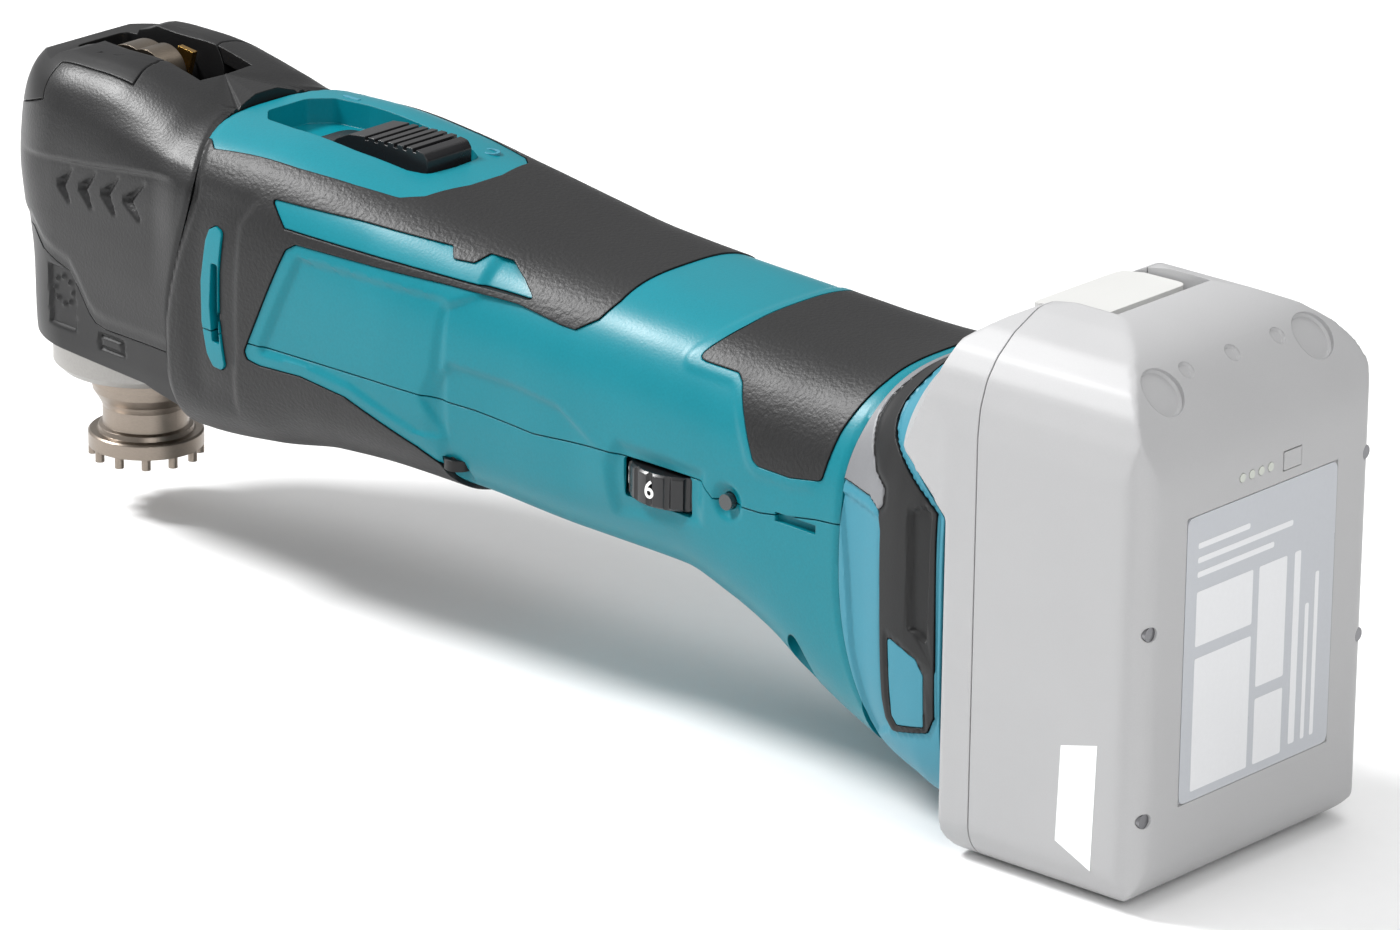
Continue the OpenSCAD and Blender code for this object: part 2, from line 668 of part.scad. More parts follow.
module indicator_lamp() color([0.15, 0.16, 0.16])
  translate([lamp_at[0], -32.6, lamp_at[1]]) rotate([-90, 0, 0]) {
    cylinder(h = 8, r = 1.7);
    translate([0, 0, 5]) cylinder(h = 3, r = 2.4);
  }

// A wire through a list of points, its runs reaching a little past every bend
module lead(route, r)
  for (i = [0:len(route) - 2]) {
    d = route[i + 1] - route[i];
    long = norm(d);
    translate(route[i]) rotate([0, acos(d[2] / long), atan2(d[1], d[0])])
      translate([0, 0, -r / 2]) cylinder(h = long + r, r = r);
  }
lead_route = [[241.2, 6, 26], [226, 8, 42], [176, 8, 58], [139.8, 4.2, 60]];
module power_leads() color([0.7, 0.1, 0.1]) {
  lead(lead_route, 1.3);
  lead([for (p = lead_route) [p[0], -p[1], p[2]]], 1.3);
}

// ---- Rear module and battery ----

// Side outline of the battery with its raised shoulder towards the tool
pack_side = concat([[pack_x, pack_low + 5], [pack_x + 1.5, pack_low + 1.6], [pack_x + 5, pack_low]],
  arc(pack_end - 11, pack_low + 11, 11, -90, 0), arc(pack_end - 28, pack_top - 28, 28, 0, 90, 14),
  [[pack_x + 14, pack_top], [270, 99], [265, 96.6], [261, 93.8], [253, 87.3], [248.6, 84],
   [247.9, 82], [248, 74], [248.7, 70.6], [250.4, 68], [pack_x, 57.3]]);
pack_front = concat(arc(-pack_w + 9, pack_low + 9, 9, 180, 270), arc(pack_w - 9, pack_low + 9, 9, 270, 360),
  [[pack_w, 76], [36.9, 82], [35, 87.5], [32, 91.5], [27, 95.4], [20, 98.6], [14, 100.2]],
  [[-14, 100.2], [-20, 98.6], [-27, 95.4], [-32, 91.5], [-35, 87.5], [-36.9, 82], [-pack_w, 76]]);
pack_plan = concat([[240, -pack_w + 2.6], [250.6, -pack_w + 1.2], [pack_x, -pack_w]],
  arc(pack_end - 6, -pack_w + 6, 6, -90, 0), arc(pack_end - 6, pack_w - 6, 6, 0, 90),
  [[pack_x, pack_w], [250.6, pack_w - 1.2], [240, pack_w - 2.6]]);

module pack_solid(inset) intersection() {
  rotate([90, 0, 0]) linear_extrude(100, center = true) offset(delta = -inset) polygon(pack_side);
  translate([200, 0, 0]) rotate([90, 0, 90]) linear_extrude(200) offset(delta = -inset) polygon(pack_front);
  translate([0, 0, -50]) linear_extrude(200) offset(delta = -inset) polygon(pack_plan);
}

// Space that the battery and its rail need inside the rear module, open upwards
module rail_space() {
  box([rail_face - 0.4, -rail_w - 0.4, rail_low - 0.6], [rail_neck + 0.4, rail_w + 0.4, 120]);
  box([rail_face - 0.4, -neck_w - 0.4, rail_low - 0.6], [300, neck_w + 0.4, 120]);
}

module module_solid() difference() {
  body_loft(226, 263, 0);
  ahead_of_rear_gap(seam_gap);
  side_prism(concat([[pack_x - 0.4, -60], [pack_x - 0.4, 57], [250, 67.7], [248.2, 70.4],
    [247.4, 74], [247.3, 84], [247.3, 130], [400, 130], [400, -60]]));
}

module rear_module() color([0.22, 0.5, 0.58]) difference() {
  union() {
    module_solid();
    intersection() {
      body_loft(222, 236, -grip_t - wall - 0.3);
      box([224, -60, -20], [236, 60, 120]);
    }
  }
  intersection() {
    body_loft(220, 263, -grip_t - wall - 2, ring_coarse);
    side_prism([[200, -20], [249.6, -20], [249.6, 64], [244.6, 69], [244.6, 120], [200, 120]]);
  }
  rail_space();
  box([241.6, -19, -2], [254, 19, 48]);
  bumper_skin();
  mirror_y() box([250.4, 32.6, 18], [257.6, 60, 52]);
}

module bumper_skin() intersection() {
  difference() {
    body_loft(224, 263, 0.2);
    body_loft(223, 264, -grip_t);
  }
  side_prism(bumper_side, 60);
}

module rear_bumper() color([0.1, 0.1, 0.11]) difference() {
  intersection() {
    bumper_skin();
    module_solid();
  }
  mirror_y() intersection() {
    side_prism(badge_side, 60);
    box([240, 20, 0], [270, 60, 40]);
  }
}

module bumper_badge() color([0.0, 0.48, 0.56]) mirror_y() intersection() {
  difference() {
    body_loft(243, 263, -0.1);
    body_loft(242, 264, -grip_t);
  }
  rotate([90, 0, 0]) linear_extrude(120, center = true) offset(delta = -0.1) polygon(badge_side);
  box([240, 20, 0], [270, 60, 40]);
}

module terminal_block() color([0.09, 0.09, 0.1]) difference() {
  box([242, -18.8, -1.8], [rail_face - 0.6, 18.8, 47.8]);
  mirror_y() box([241, blade_y - blade_t / 2, 8], [260, blade_y + blade_t / 2, 32]);
}

module terminal_blades() color([0.75, 0.62, 0.35])
  mirror_y() box([243, blade_y - blade_t / 2, 8], [260, blade_y + blade_t / 2, 32]);

module button_recess() {
  box([pack_x - 5, -14.8, 91.6], [281 + button_travel + 0.6, 14.8, 130]);
  box([263, -8.4, 80], [267 + button_travel + 0.4, 8.4, 92]);
}

module battery_top_case() color([0.74, 0.74, 0.75]) difference() {
  union() {
    intersection() {
      pack_solid(0);
      union() {
        difference() {
          box([240, -60, -40], [270, 60, 130]);
          difference() {
            pack_solid(wall);
            box([240, -60, -40], [pack_x + wall, 60, 56]);
          }
        }
        box([pack_x - 4, -17.2, 89], [270, 17.2, 130]);
      }
    }
    box([rail_face, -rail_w, rail_low], [rail_neck, rail_w, 60]);
    box([rail_neck - 0.1, -neck_w, rail_low], [pack_x + 0.1, neck_w, 60]);
  }
  mirror_y() box([rail_face - 1, blade_y - 1.9, rail_low - 1], [261, blade_y + 1.9, 34]);
  button_recess();
  box([240, -8.4, 71.4], [268, 8.4, 79.6]);
}

module battery_tray() color([0.74, 0.74, 0.75]) difference() {
  union() {
    intersection() {
      pack_solid(0);
      union() {
        difference() {
          box([270.1, -60, -40], [330, 60, 130]);
          pack_solid(wall);
        }
        box([270.1, -17.2, 89], [289, 17.2, 130]);
      }
    }
    box([274, -6, 83], [276, 6, 89.1]);
  }
  button_recess();
  for (p = pack_screw_at)
    translate([pack_end - wall - 1, p[0], p[1]]) rotate([0, 90, 0]) cylinder(h = 6, r = 1.5);
  box([305, 6, 68.2], [320, 12, 72.4]);
  for (y = [-7:3:2]) translate([305, y, 70.3]) rotate([0, 90, 0]) cylinder(h = 10, r = 0.95);
  mirror_y() translate([309.6, 23.9, 96.4]) rotate([0, 42, 0]) cylinder(h = 10, r = 5.2, center = true);
}

module battery_label() color([0.68, 0.7, 0.72])
  translate([pack_end, 0, 0]) rotate([90, 0, 90]) linear_extrude(0.2)
    polygon(concat(arc(-22, 8, 2, 180, 270, 4), arc(22, 8, 2, 270, 360, 4),
      arc(22, 64, 2, 0, 90, 4), arc(-22, 64, 2, 90, 180, 4)));

module battery_screws() color([0.2, 0.2, 0.2])
  for (p = pack_screw_at)
    translate([pack_end - 0.7, p[0], p[1]]) rotate([0, -90, 0]) cylinder(h = 2, r = 1.5);

module battery_cells() color([0.15, 0.4, 0.35])
  for (i = [0, 1], j = [0:4])
    translate([280.9 + 18.5 * i, 32.4, -1.2 + cell_pitch * j]) rotate([90, 0, 0])
      cylinder(h = 64.8, r = cell_r);

module cell_straps() color([0.8, 0.8, 0.8])
  mirror_y() for (j = [0:4])
    box([277, 32.4, -3.7 + cell_pitch * j], [303, 32.8, 1.3 + cell_pitch * j]);

module battery_board() color([0.1, 0.35, 0.2]) {
  box([266, -30, -6], [267.6, 30, 54]);
  mirror_y() for (s = [-1, 1])
    box([254.2, blade_y + s * 1.15 - 0.35, 4], [260.9, blade_y + s * 1.15 + 0.35, 33.9]);
}

module release_button() color([0.93, 0.93, 0.92]) {
  box([263.4, -14, 92], [281, 14, 98]);
  box([263.4, -8, 72], [266.6, 8, 92.1]);
  box([248.1, -8, 72], [263.5, 8, 79]);
}

module latch_spring() color([0.6, 0.6, 0.62])
  translate([266.7, 0, 85.9]) rotate([0, 90, 0]) coil_rings(2.5, 0.35, 7.2, 4);

module gauge_button() color([0.6, 0.6, 0.61]) box([309.3, 6.2, 68.4], [pack_end + 0.1, 11.8, 72.2]);

module gauge_lamps() color([0.85, 0.86, 0.84])
  for (y = [-7:3:2]) translate([308.6, y, 70.3]) rotate([0, 90, 0]) cylinder(h = 3.8, r = 0.9);

spindle();
swing_fork();
holder_clamp();
clamp_rod();
clamp_spring();
lever();
lever_hub();
lever_pin();
lever_cam();
cam_plate();
lever_bracket();
gear_housing();
lower_bearing();
upper_bearing();
spindle_seal();
head_cover();
nose_guard();
head_screws();
motor_can();
motor_magnets();
motor_end_bell();
motor_bearings();
carbon_brushes();
brush_holders();
rotor_shaft();
armature_core();
armature_windings();
commutator();
cooling_fan();
eccentric_shaft();
eccentric_bearing();
housing_upper();
housing_lower();
front_grip();
rear_grip();
housing_screws();
switch_slider();
switch_link();
switch_unit();
speed_dial();
dial_sensor();
speed_controller();
indicator_lamp();
power_leads();
rear_module();
rear_bumper();
bumper_badge();
terminal_block();
terminal_blades();
battery_top_case();
battery_tray();
battery_label();
battery_screws();
battery_cells();
cell_straps();
battery_board();
release_button();
latch_spring();
gauge_button();
gauge_lamps();
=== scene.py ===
"""Looks for the cordless oscillating multi-tool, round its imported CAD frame. Lengths are mm until mesh()."""
import math

import bpy
import numpy as np
from mathutils import Matrix, Vector


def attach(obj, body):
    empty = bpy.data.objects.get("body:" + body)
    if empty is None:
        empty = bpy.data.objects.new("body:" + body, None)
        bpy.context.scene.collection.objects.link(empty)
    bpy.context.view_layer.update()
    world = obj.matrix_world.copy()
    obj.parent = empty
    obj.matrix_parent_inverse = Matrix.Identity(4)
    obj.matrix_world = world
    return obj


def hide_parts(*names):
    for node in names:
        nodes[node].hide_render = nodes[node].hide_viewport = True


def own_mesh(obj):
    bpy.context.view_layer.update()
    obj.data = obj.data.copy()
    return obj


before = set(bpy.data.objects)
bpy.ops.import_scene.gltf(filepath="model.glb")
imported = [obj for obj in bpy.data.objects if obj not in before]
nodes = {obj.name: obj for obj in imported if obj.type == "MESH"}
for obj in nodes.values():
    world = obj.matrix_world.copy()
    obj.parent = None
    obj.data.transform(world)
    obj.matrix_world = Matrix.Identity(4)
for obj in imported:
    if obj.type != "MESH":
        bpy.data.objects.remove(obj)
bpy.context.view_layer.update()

MM = 0.001

# ---------------------------------------------------------------- camera
AZIMUTH, ELEVATION, ROLL = (math.radians(a) for a in (41.25, 19.63, 0.77))
AIM = Vector((155.0, 0.0, 35.0)) * MM
AIM_ASIDE, AIM_UP, DISTANCE = -7.34 * MM, 2.25 * MM, 1681.85 * MM
FOCAL, SENSOR = 205.8, 36.0


def direction(azimuth, elevation):
    """Unit vector from the tool to a place at this azimuth and elevation, in radians."""
    level = math.cos(elevation)
    return Vector((math.sin(azimuth) * level, -math.cos(azimuth) * level, math.sin(elevation)))


back = direction(AZIMUTH, ELEVATION)
right = Vector((math.cos(AZIMUTH), math.sin(AZIMUTH), 0.0))
up = back.cross(right)
cam_data = bpy.data.cameras.new("Camera")
cam_data.lens, cam_data.sensor_width = FOCAL, SENSOR
cam_data.clip_start, cam_data.clip_end = 0.05, 20.0
cam = bpy.data.objects.new("Camera", cam_data)
bpy.context.scene.collection.objects.link(cam)
tilted = (right * math.cos(ROLL) + up * math.sin(ROLL), up * math.cos(ROLL) - right * math.sin(ROLL))
place = AIM + back * DISTANCE - right * AIM_ASIDE - up * AIM_UP
cam.matrix_world = Matrix.Translation(place) @ Matrix((*tilted, back)).transposed().to_4x4()
bpy.context.scene.camera = cam


# ---------------------------------------------------------------- small tools
def smooth(t):
    t = np.clip(t, 0.0, 1.0)
    return t * t * (3 - 2 * t)


def pchip(xs, ys, x):
    """Monotone cubic through the table xs, ys."""
    xs, ys, x = np.asarray(xs, float), np.asarray(ys, float), np.asarray(x, float)
    h, d = np.diff(xs), np.diff(ys) / np.diff(xs)
    m = np.zeros(len(xs))
    m[0], m[-1] = d[0], d[-1]
    for i in range(1, len(xs) - 1):
        if d[i - 1] * d[i] > 0:
            a, b = 2 * h[i] + h[i - 1], h[i] + 2 * h[i - 1]
            m[i] = (a + b) / (a / d[i - 1] + b / d[i])
    i = np.clip(np.searchsorted(xs, x) - 1, 0, len(xs) - 2)
    t = np.clip((x - xs[i]) / h[i], 0, 1)
    return ((1 + 2 * t) * (1 - t) ** 2 * ys[i] + t * (1 - t) ** 2 * h[i] * m[i]
            + t * t * (3 - 2 * t) * ys[i + 1] + t * t * (t - 1) * h[i] * m[i + 1])


def mesh(verts, faces, flat=False, name="solid"):
    """A mesh object from points in mm."""
    data = bpy.data.meshes.new(name)
    data.from_pydata((np.asarray(verts, float) * MM).tolist(), [], [tuple(int(i) for i in f) for f in faces])
    data.update()
    if not flat:
        data.polygons.foreach_set("use_smooth", [True] * len(data.polygons))
    obj = bpy.data.objects.new(name, data)
    bpy.context.scene.collection.objects.link(obj)
    return obj


def drop(obj):
    data = obj.data
    bpy.data.objects.remove(obj)
    bpy.data.meshes.remove(data)


def applied(obj):
    """Bakes the object's modifiers into its mesh."""
    graph = bpy.context.evaluated_depsgraph_get()
    data = bpy.data.meshes.new_from_object(obj.evaluated_get(graph))
    old = obj.data
    obj.modifiers.clear()
    obj.data = data
    bpy.data.meshes.remove(old)
    data.name = obj.name
    return obj


def cut(obj, other, how="DIFFERENCE", keep=False):
    """Cuts other out of obj, or joins or intersects them, and drops other unless it is to be kept."""
    mod = obj.modifiers.new("cut", "BOOLEAN")
    mod.operation, mod.object, mod.solver = how, other, "MANIFOLD"
    applied(obj)
    if not keep:
        drop(other)
    return obj


def copy(obj):
    twin = bpy.data.objects.new("copy", obj.data.copy())
    bpy.context.scene.collection.objects.link(twin)
    return twin


def closed_grid(rings):
    """Faces of a tube of rings (n, m, 3) closed in both directions by end fans."""
    n, m = rings.shape[:2]
    verts = rings.reshape(-1, 3).tolist()
    idx = np.arange(n * m).reshape(n, m)
    nxt = np.roll(idx, -1, axis=1)
    quads = np.stack([idx[:-1], nxt[:-1], nxt[1:], idx[1:]], -1).reshape(-1, 4).tolist()
    for ring, flip in ((idx[0], True), (idx[-1], False)):
        centre = len(verts)
        verts.append(np.asarray(verts)[ring].mean(0).tolist())
        for j in range(m):
            a, b = int(ring[j]), int(ring[(j + 1) % m])
            quads.append((b, a, centre) if flip else (a, b, centre))
    return verts, quads


def resampled(points, m):
    """A closed ring of points spread evenly along its length, for each row of (n, k, 3)."""
    out = np.empty((points.shape[0], m, 3))
    for i, ring in enumerate(points):
        loop = np.vstack([ring, ring[:1]])
        s = np.concatenate([[0], np.cumsum(np.linalg.norm(np.diff(loop, axis=0), axis=1))])
        at = np.linspace(0, s[-1], m, endpoint=False)
        out[i] = np.stack([np.interp(at, s, loop[:, k]) for k in range(3)], -1)
    return out


def rounded(outline, r, steps=5):
    """The outline with each corner replaced by an arc of about radius r."""
    pts = [np.asarray(p, float) for p in outline]
    out = []
    for i, p in enumerate(pts):
        a, b = pts[i - 1] - p, pts[(i + 1) % len(pts)] - p
        la, lb = np.linalg.norm(a), np.linalg.norm(b)
        a, b = a / la, b / lb
        angle = math.acos(float(np.clip(a @ b, -1, 1)))
        reach = min(r / max(math.tan(angle / 2), 1e-3), 0.45 * la, 0.45 * lb)
        if reach < 0.02 or angle > 3.10:
            out.append(p)
            continue
        p0, p1 = p + a * reach, p + b * reach
        for t in np.linspace(0, 1, steps):
            out.append((1 - t) ** 2 * p0 + 2 * t * (1 - t) * p + t * t * p1)
    return np.array(out)


def offset(outline, d):
    """The outline moved outwards by d (inwards if negative)."""
    p = np.asarray(outline, float)
    area = np.sum(p[:, 0] * np.roll(p[:, 1], -1) - np.roll(p[:, 0], -1) * p[:, 1])
    e = np.roll(p, -1, axis=0) - p
    n = np.stack([e[:, 1], -e[:, 0]], -1) / np.linalg.norm(e, axis=1)[:, None]
    n *= math.copysign(1, area)
    prev = np.roll(n, 1, axis=0)
    mean = n + prev
    return p + d * mean / np.maximum(np.sum(mean * mean, axis=1) / 2, 0.6)[:, None]


# which of an outline's two values and its depth stand for x, y and z
PLANES = {"xy": (0, 1, 2), "xz": (0, 2, 1), "yz": (2, 0, 1)}


def prism(outline, plane, lo, hi):
    """Solid from an outline drawn in plane xz, xy or yz and extruded along the third axis."""
    p = np.asarray(outline, float)
    area = np.sum(p[:, 0] * np.roll(p[:, 1], -1) - np.roll(p[:, 0], -1) * p[:, 1])
    if area < 0:
        p = p[::-1]
    n = len(p)
    verts = [[(a, b, depth)[k] for k in PLANES[plane]] for depth in (lo, hi) for a, b in p]
    faces = [tuple(range(n))[::-1], tuple(range(n, 2 * n))]
    faces += [(i, (i + 1) % n, n + (i + 1) % n, n + i) for i in range(n)]
    if plane == "xz":
        faces = [f[::-1] for f in faces]
    obj = mesh(verts, faces, flat=True)
    obj.modifiers.new("t", "TRIANGULATE")
    return applied(obj)


def rectangle(x0, y0, x1, y1):
    return [(x0, y0), (x1, y0), (x1, y1), (x0, y1)]


def block(low, high):
    return prism(rectangle(*low[:2], *high[:2]), "xy", low[2], high[2])


def sides(near, far):
    """The tool's two sides, as ranges of y."""
    return (-far, -near), (near, far)


def cylinder(centre, axis, r, length, n=48):
    a = np.linspace(0, 2 * np.pi, n, endpoint=False)
    ring = np.stack([np.cos(a) * r, np.sin(a) * r], -1)
    c = np.asarray(centre, float)
    plane = {"z": "xy", "y": "xz", "x": "yz"}[axis]
    i = {"z": (0, 1, 2), "y": (0, 2, 1), "x": (1, 2, 0)}[axis]
    return prism(ring + c[[i[0], i[1]]], plane, c[i[2]] - length / 2, c[i[2]] + length / 2)


def lathe(profile, centre, n):
    """Solid of revolution about z of (radius, height) points; both ends are closed flat."""
    pr = np.asarray(profile, float)
    a = np.linspace(0, 2 * np.pi, n, endpoint=False)
    rings = np.stack([np.outer(pr[:, 0], np.cos(a)), np.outer(pr[:, 0], np.sin(a)),
                      np.repeat(pr[:, 1:2], n, 1)], -1)
    return mesh(*closed_grid(rings + np.asarray(centre, float)))


def mirrored(half):
    return [tuple(p) for p in half] + [(p[0], -p[1]) for p in reversed(half)]


def soften(obj, voxel, rounds):
    """Rounds all edges of a solid: remesh, then smooth."""
    mod = obj.modifiers.new("r", "REMESH")
    mod.mode, mod.voxel_size = "VOXEL", voxel * MM
    mod = obj.modifiers.new("s", "SMOOTH")
    mod.iterations, mod.factor = rounds, 0.5
    return applied(obj)


def piece(obj, name, body, material, slot, *stands_for, angle=38):
    """Finishes a piece: names it, gives it its material and rides it on its body."""
    obj.name = name
    obj.data.name = name
    obj.data.materials.clear()
    obj.data.materials.append(material)
    obj.data.polygons.foreach_set("use_smooth", [True] * len(obj.data.polygons))
    obj.data.set_sharp_from_angle(angle=math.radians(angle))
    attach(obj, body)
    if stands_for:
        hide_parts(*stands_for)


# ---------------------------------------------------------------- materials
ROUGH_DRIFT = 0.08


def linear(hexa):
    """The linear colour of an sRGB hex code."""
    c = [int(hexa[i:i + 2], 16) / 255 for i in (0, 2, 4)]
    return tuple(v / 12.92 if v <= 0.04045 else ((v + 0.055) / 1.055) ** 2.4 for v in c) + (1.0,)


def material(name, colour, rough, grain, depth, var, blot=18.0, metal=0.0, coat=0.0, bevel=0.0, brushed=None,
             spec=0.5):
    """A finish whose colour and roughness drift by var over blots, with a grain of a size and depth in mm."""
    mat = bpy.data.materials.new(name)
    mat.use_nodes = True
    t, n = mat.node_tree, mat.node_tree.nodes
    bsdf = n["Principled BSDF"]
    bsdf.inputs["Metallic"].default_value = metal
    bsdf.inputs["Specular IOR Level"].default_value = spec
    bsdf.inputs["Coat Weight"].default_value = coat
    bsdf.inputs["Coat Roughness"].default_value = 0.15
    place = n.new("ShaderNodeTexCoord")
    stretch = n.new("ShaderNodeMapping")
    t.links.new(place.outputs["Object"], stretch.inputs["Vector"])
    if brushed:
        stretch.inputs["Scale"].default_value = brushed
    broad = n.new("ShaderNodeTexNoise")
    broad.inputs["Scale"].default_value = 1000.0 / blot
    broad.inputs["Detail"].default_value = 4.0
    t.links.new(place.outputs["Object"], broad.inputs["Vector"])
    fine = n.new("ShaderNodeTexNoise")
    fine.inputs["Scale"].default_value = 1000.0 / grain
    fine.inputs["Detail"].default_value = 3.0
    t.links.new(stretch.outputs["Vector"], fine.inputs["Vector"])
    base = n.new("ShaderNodeMix")
    base.data_type = "RGBA"
    lo = tuple(c * (1 - var) for c in colour[:3]) + (1.0,)
    hi = tuple(min(1.0, c * (1 + var)) for c in colour[:3]) + (1.0,)
    base.inputs["A"].default_value, base.inputs["B"].default_value = lo, hi
    t.links.new(broad.outputs["Fac"], base.inputs["Factor"])
    speck = n.new("ShaderNodeMix")
    speck.data_type, speck.blend_type = "RGBA", "MULTIPLY"
    speck.inputs["Factor"].default_value = min(1.0, var * 2.5)
    t.links.new(base.outputs["Result"], speck.inputs["A"])
    t.links.new(fine.outputs["Fac"], speck.inputs["B"])
    t.links.new(speck.outputs["Result"], bsdf.inputs["Base Color"])
    r = n.new("ShaderNodeMapRange")
    r.inputs["To Min"].default_value = rough - ROUGH_DRIFT
    r.inputs["To Max"].default_value = rough + ROUGH_DRIFT
    t.links.new(broad.outputs["Fac"], r.inputs["Value"])
    t.links.new(r.outputs["Result"], bsdf.inputs["Roughness"])
    bump = n.new("ShaderNodeBump")
    bump.inputs["Distance"].default_value = depth * MM
    bump.inputs["Strength"].default_value = 1.0
    t.links.new(fine.outputs["Fac"], bump.inputs["Height"])
    if bevel:
        soft = n.new("ShaderNodeBevel")
        soft.samples = 6
        soft.inputs["Radius"].default_value = bevel * MM
        t.links.new(soft.outputs["Normal"], bump.inputs["Normal"])
    t.links.new(bump.outputs["Normal"], bsdf.inputs["Normal"])
    return mat


TEAL = material("Teal_Plastic", linear("007A88"), rough=0.36, grain=0.55, depth=0.026, var=0.07,
                bevel=0.35, spec=0.30)
TEAL_LIGHT = material("Light_Teal_Plastic", linear("37869A"), rough=0.44, grain=0.34, depth=0.016,
                      var=0.05, bevel=0.35, spec=0.4)
BLACK = material("Black_Plastic", linear("151516"), rough=0.42, grain=0.40, depth=0.022, var=0.10,
                 bevel=0.4, spec=0.34)
HEAD = material("Head_Plastic", linear("181819"), rough=0.40, grain=0.62, depth=0.065, var=0.16,
                bevel=0.4, spec=0.40)
RUBBER = material("Grip_Rubber", linear("19191A"), rough=0.46, grain=0.85, depth=0.13, var=0.18,
                  bevel=0.4, spec=0.40)
GLOSS = material("Gloss_Black", linear("1C1C1E"), rough=0.28, grain=0.8, depth=0.006, var=0.05, bevel=0.3)
GREY_TRIM = material("Satin_Grey", linear("7C7D80"), rough=0.42, grain=0.35, depth=0.012, var=0.05,
                     bevel=0.3)
PACK = material("Battery_Plastic", linear("ABABAC"), rough=0.44, grain=0.30, depth=0.010, var=0.03,
                bevel=0.3)
LABEL = material("Label_Film", linear("B2B5BA"), rough=0.30, grain=0.9, depth=0.003, var=0.02)
LABEL_WHITE = material("Label_White", linear("D8D9DB"), rough=0.32, grain=0.9, depth=0.003, var=0.02)
WHITE = material("White_Plastic", linear("C6C6C4"), rough=0.38, grain=0.4, depth=0.006, var=0.02,
                 bevel=0.3)
INK = material("White_Ink", linear("F4F5F5"), rough=0.45, grain=0.5, depth=0.003, var=0.02)
LENS = material("Lamp_Lens", linear("B9BDB4"), rough=0.18, grain=1.0, depth=0.004, var=0.03, coat=0.4)
DARK_LENS = material("Dark_Lens", linear("2A3032"), rough=0.15, grain=1.0, depth=0.004, var=0.05,
                     coat=0.6)
NICKEL = material("Spindle_Steel", linear("9C9186"), rough=0.34, grain=0.8, depth=0.010, var=0.12,
                  metal=1.0, brushed=(1, 1, 9), bevel=0.25, blot=5.0)
STEEL = material("Ground_Steel", linear("8F8F92"), rough=0.33, grain=0.6, depth=0.006, var=0.10,
                 metal=1.0, brushed=(1, 1, 6))
CHROME = material("Bearing_Steel", linear("B8B8BC"), rough=0.18, grain=0.8, depth=0.003, var=0.05,
                  metal=1.0)
ALLOY = material("Cast_Aluminium", linear("A4A29F"), rough=0.40, grain=0.5, depth=0.014, var=0.08,
                 metal=0.85, bevel=0.3, blot=7.0)
CAM_STEEL = material("Cam_Steel", linear("8A7F72"), rough=0.36, grain=0.5, depth=0.010, var=0.18,
                     metal=1.0, brushed=(1, 8, 1), bevel=0.2, blot=4.0)
GOLD = material("Gold_Plate", linear("B08A48"), rough=0.34, grain=0.5, depth=0.006, var=0.12, metal=1.0,
                bevel=0.15)
BRASS = material("Contact_Brass", linear("C2A25A"), rough=0.30, grain=0.6, depth=0.004, var=0.08,
                 metal=1.0)
COPPER = material("Copper_Wire", linear("A85A2C"), rough=0.35, grain=0.7, depth=0.05, var=0.12, metal=0.9,
                  brushed=(6, 1, 1))
MAGNET = material("Ferrite", linear("2B2B2D"), rough=0.65, grain=0.4, depth=0.02, var=0.12)
CARBON = material("Carbon", linear("242425"), rough=0.6, grain=0.3, depth=0.01, var=0.1)
BOARD = material("Circuit_Board", linear("1E5A38"), rough=0.4, grain=0.8, depth=0.006, var=0.12)
CELL = material("Cell_Sleeve", linear("1F6F6A"), rough=0.3, grain=1.5, depth=0.004, var=0.05)
TAB = material("Nickel_Strip", linear("B9B5AA"), rough=0.3, grain=0.6, depth=0.005, var=0.06, metal=1.0)
WIRE = material("Wire_Insulation", linear("A01818"), rough=0.4, grain=0.6, depth=0.006, var=0.06)

CAD_LOOKS = {
    "spindle": NICKEL, "swing_fork": STEEL, "holder_clamp": STEEL, "clamp_rod": STEEL,
    "lever_hub": BLACK, "lever_pin": STEEL, "lever_cam": CAM_STEEL, "cam_plate": GOLD, "lever_bracket": BLACK,
    "gear_housing": ALLOY, "lower_bearing": CHROME, "upper_bearing": CHROME, "spindle_seal": GLOSS,
    "head_screws": STEEL, "motor_can": STEEL, "motor_magnets": MAGNET, "motor_end_bell": BLACK,
    "motor_bearings": CHROME, "carbon_brushes": CARBON, "brush_holders": BRASS, "rotor_shaft": STEEL,
    "armature_core": MAGNET, "armature_windings": COPPER, "commutator": COPPER, "cooling_fan": BLACK,
    "eccentric_shaft": STEEL, "eccentric_bearing": CHROME, "housing_screws": BLACK, "switch_link": WHITE,
    "switch_unit": BLACK, "dial_sensor": BOARD, "speed_controller": BLACK, "indicator_lamp": DARK_LENS,
    "power_leads": WIRE, "terminal_block": BLACK, "terminal_blades": BRASS, "battery_screws": STEEL,
    "battery_cells": CELL, "cell_straps": TAB, "battery_board": BOARD,
    "gauge_button": PACK, "gauge_lamps": LENS}
for name, look in CAD_LOOKS.items():
    nodes[name].data.materials.clear()
    nodes[name].data.materials.append(look)

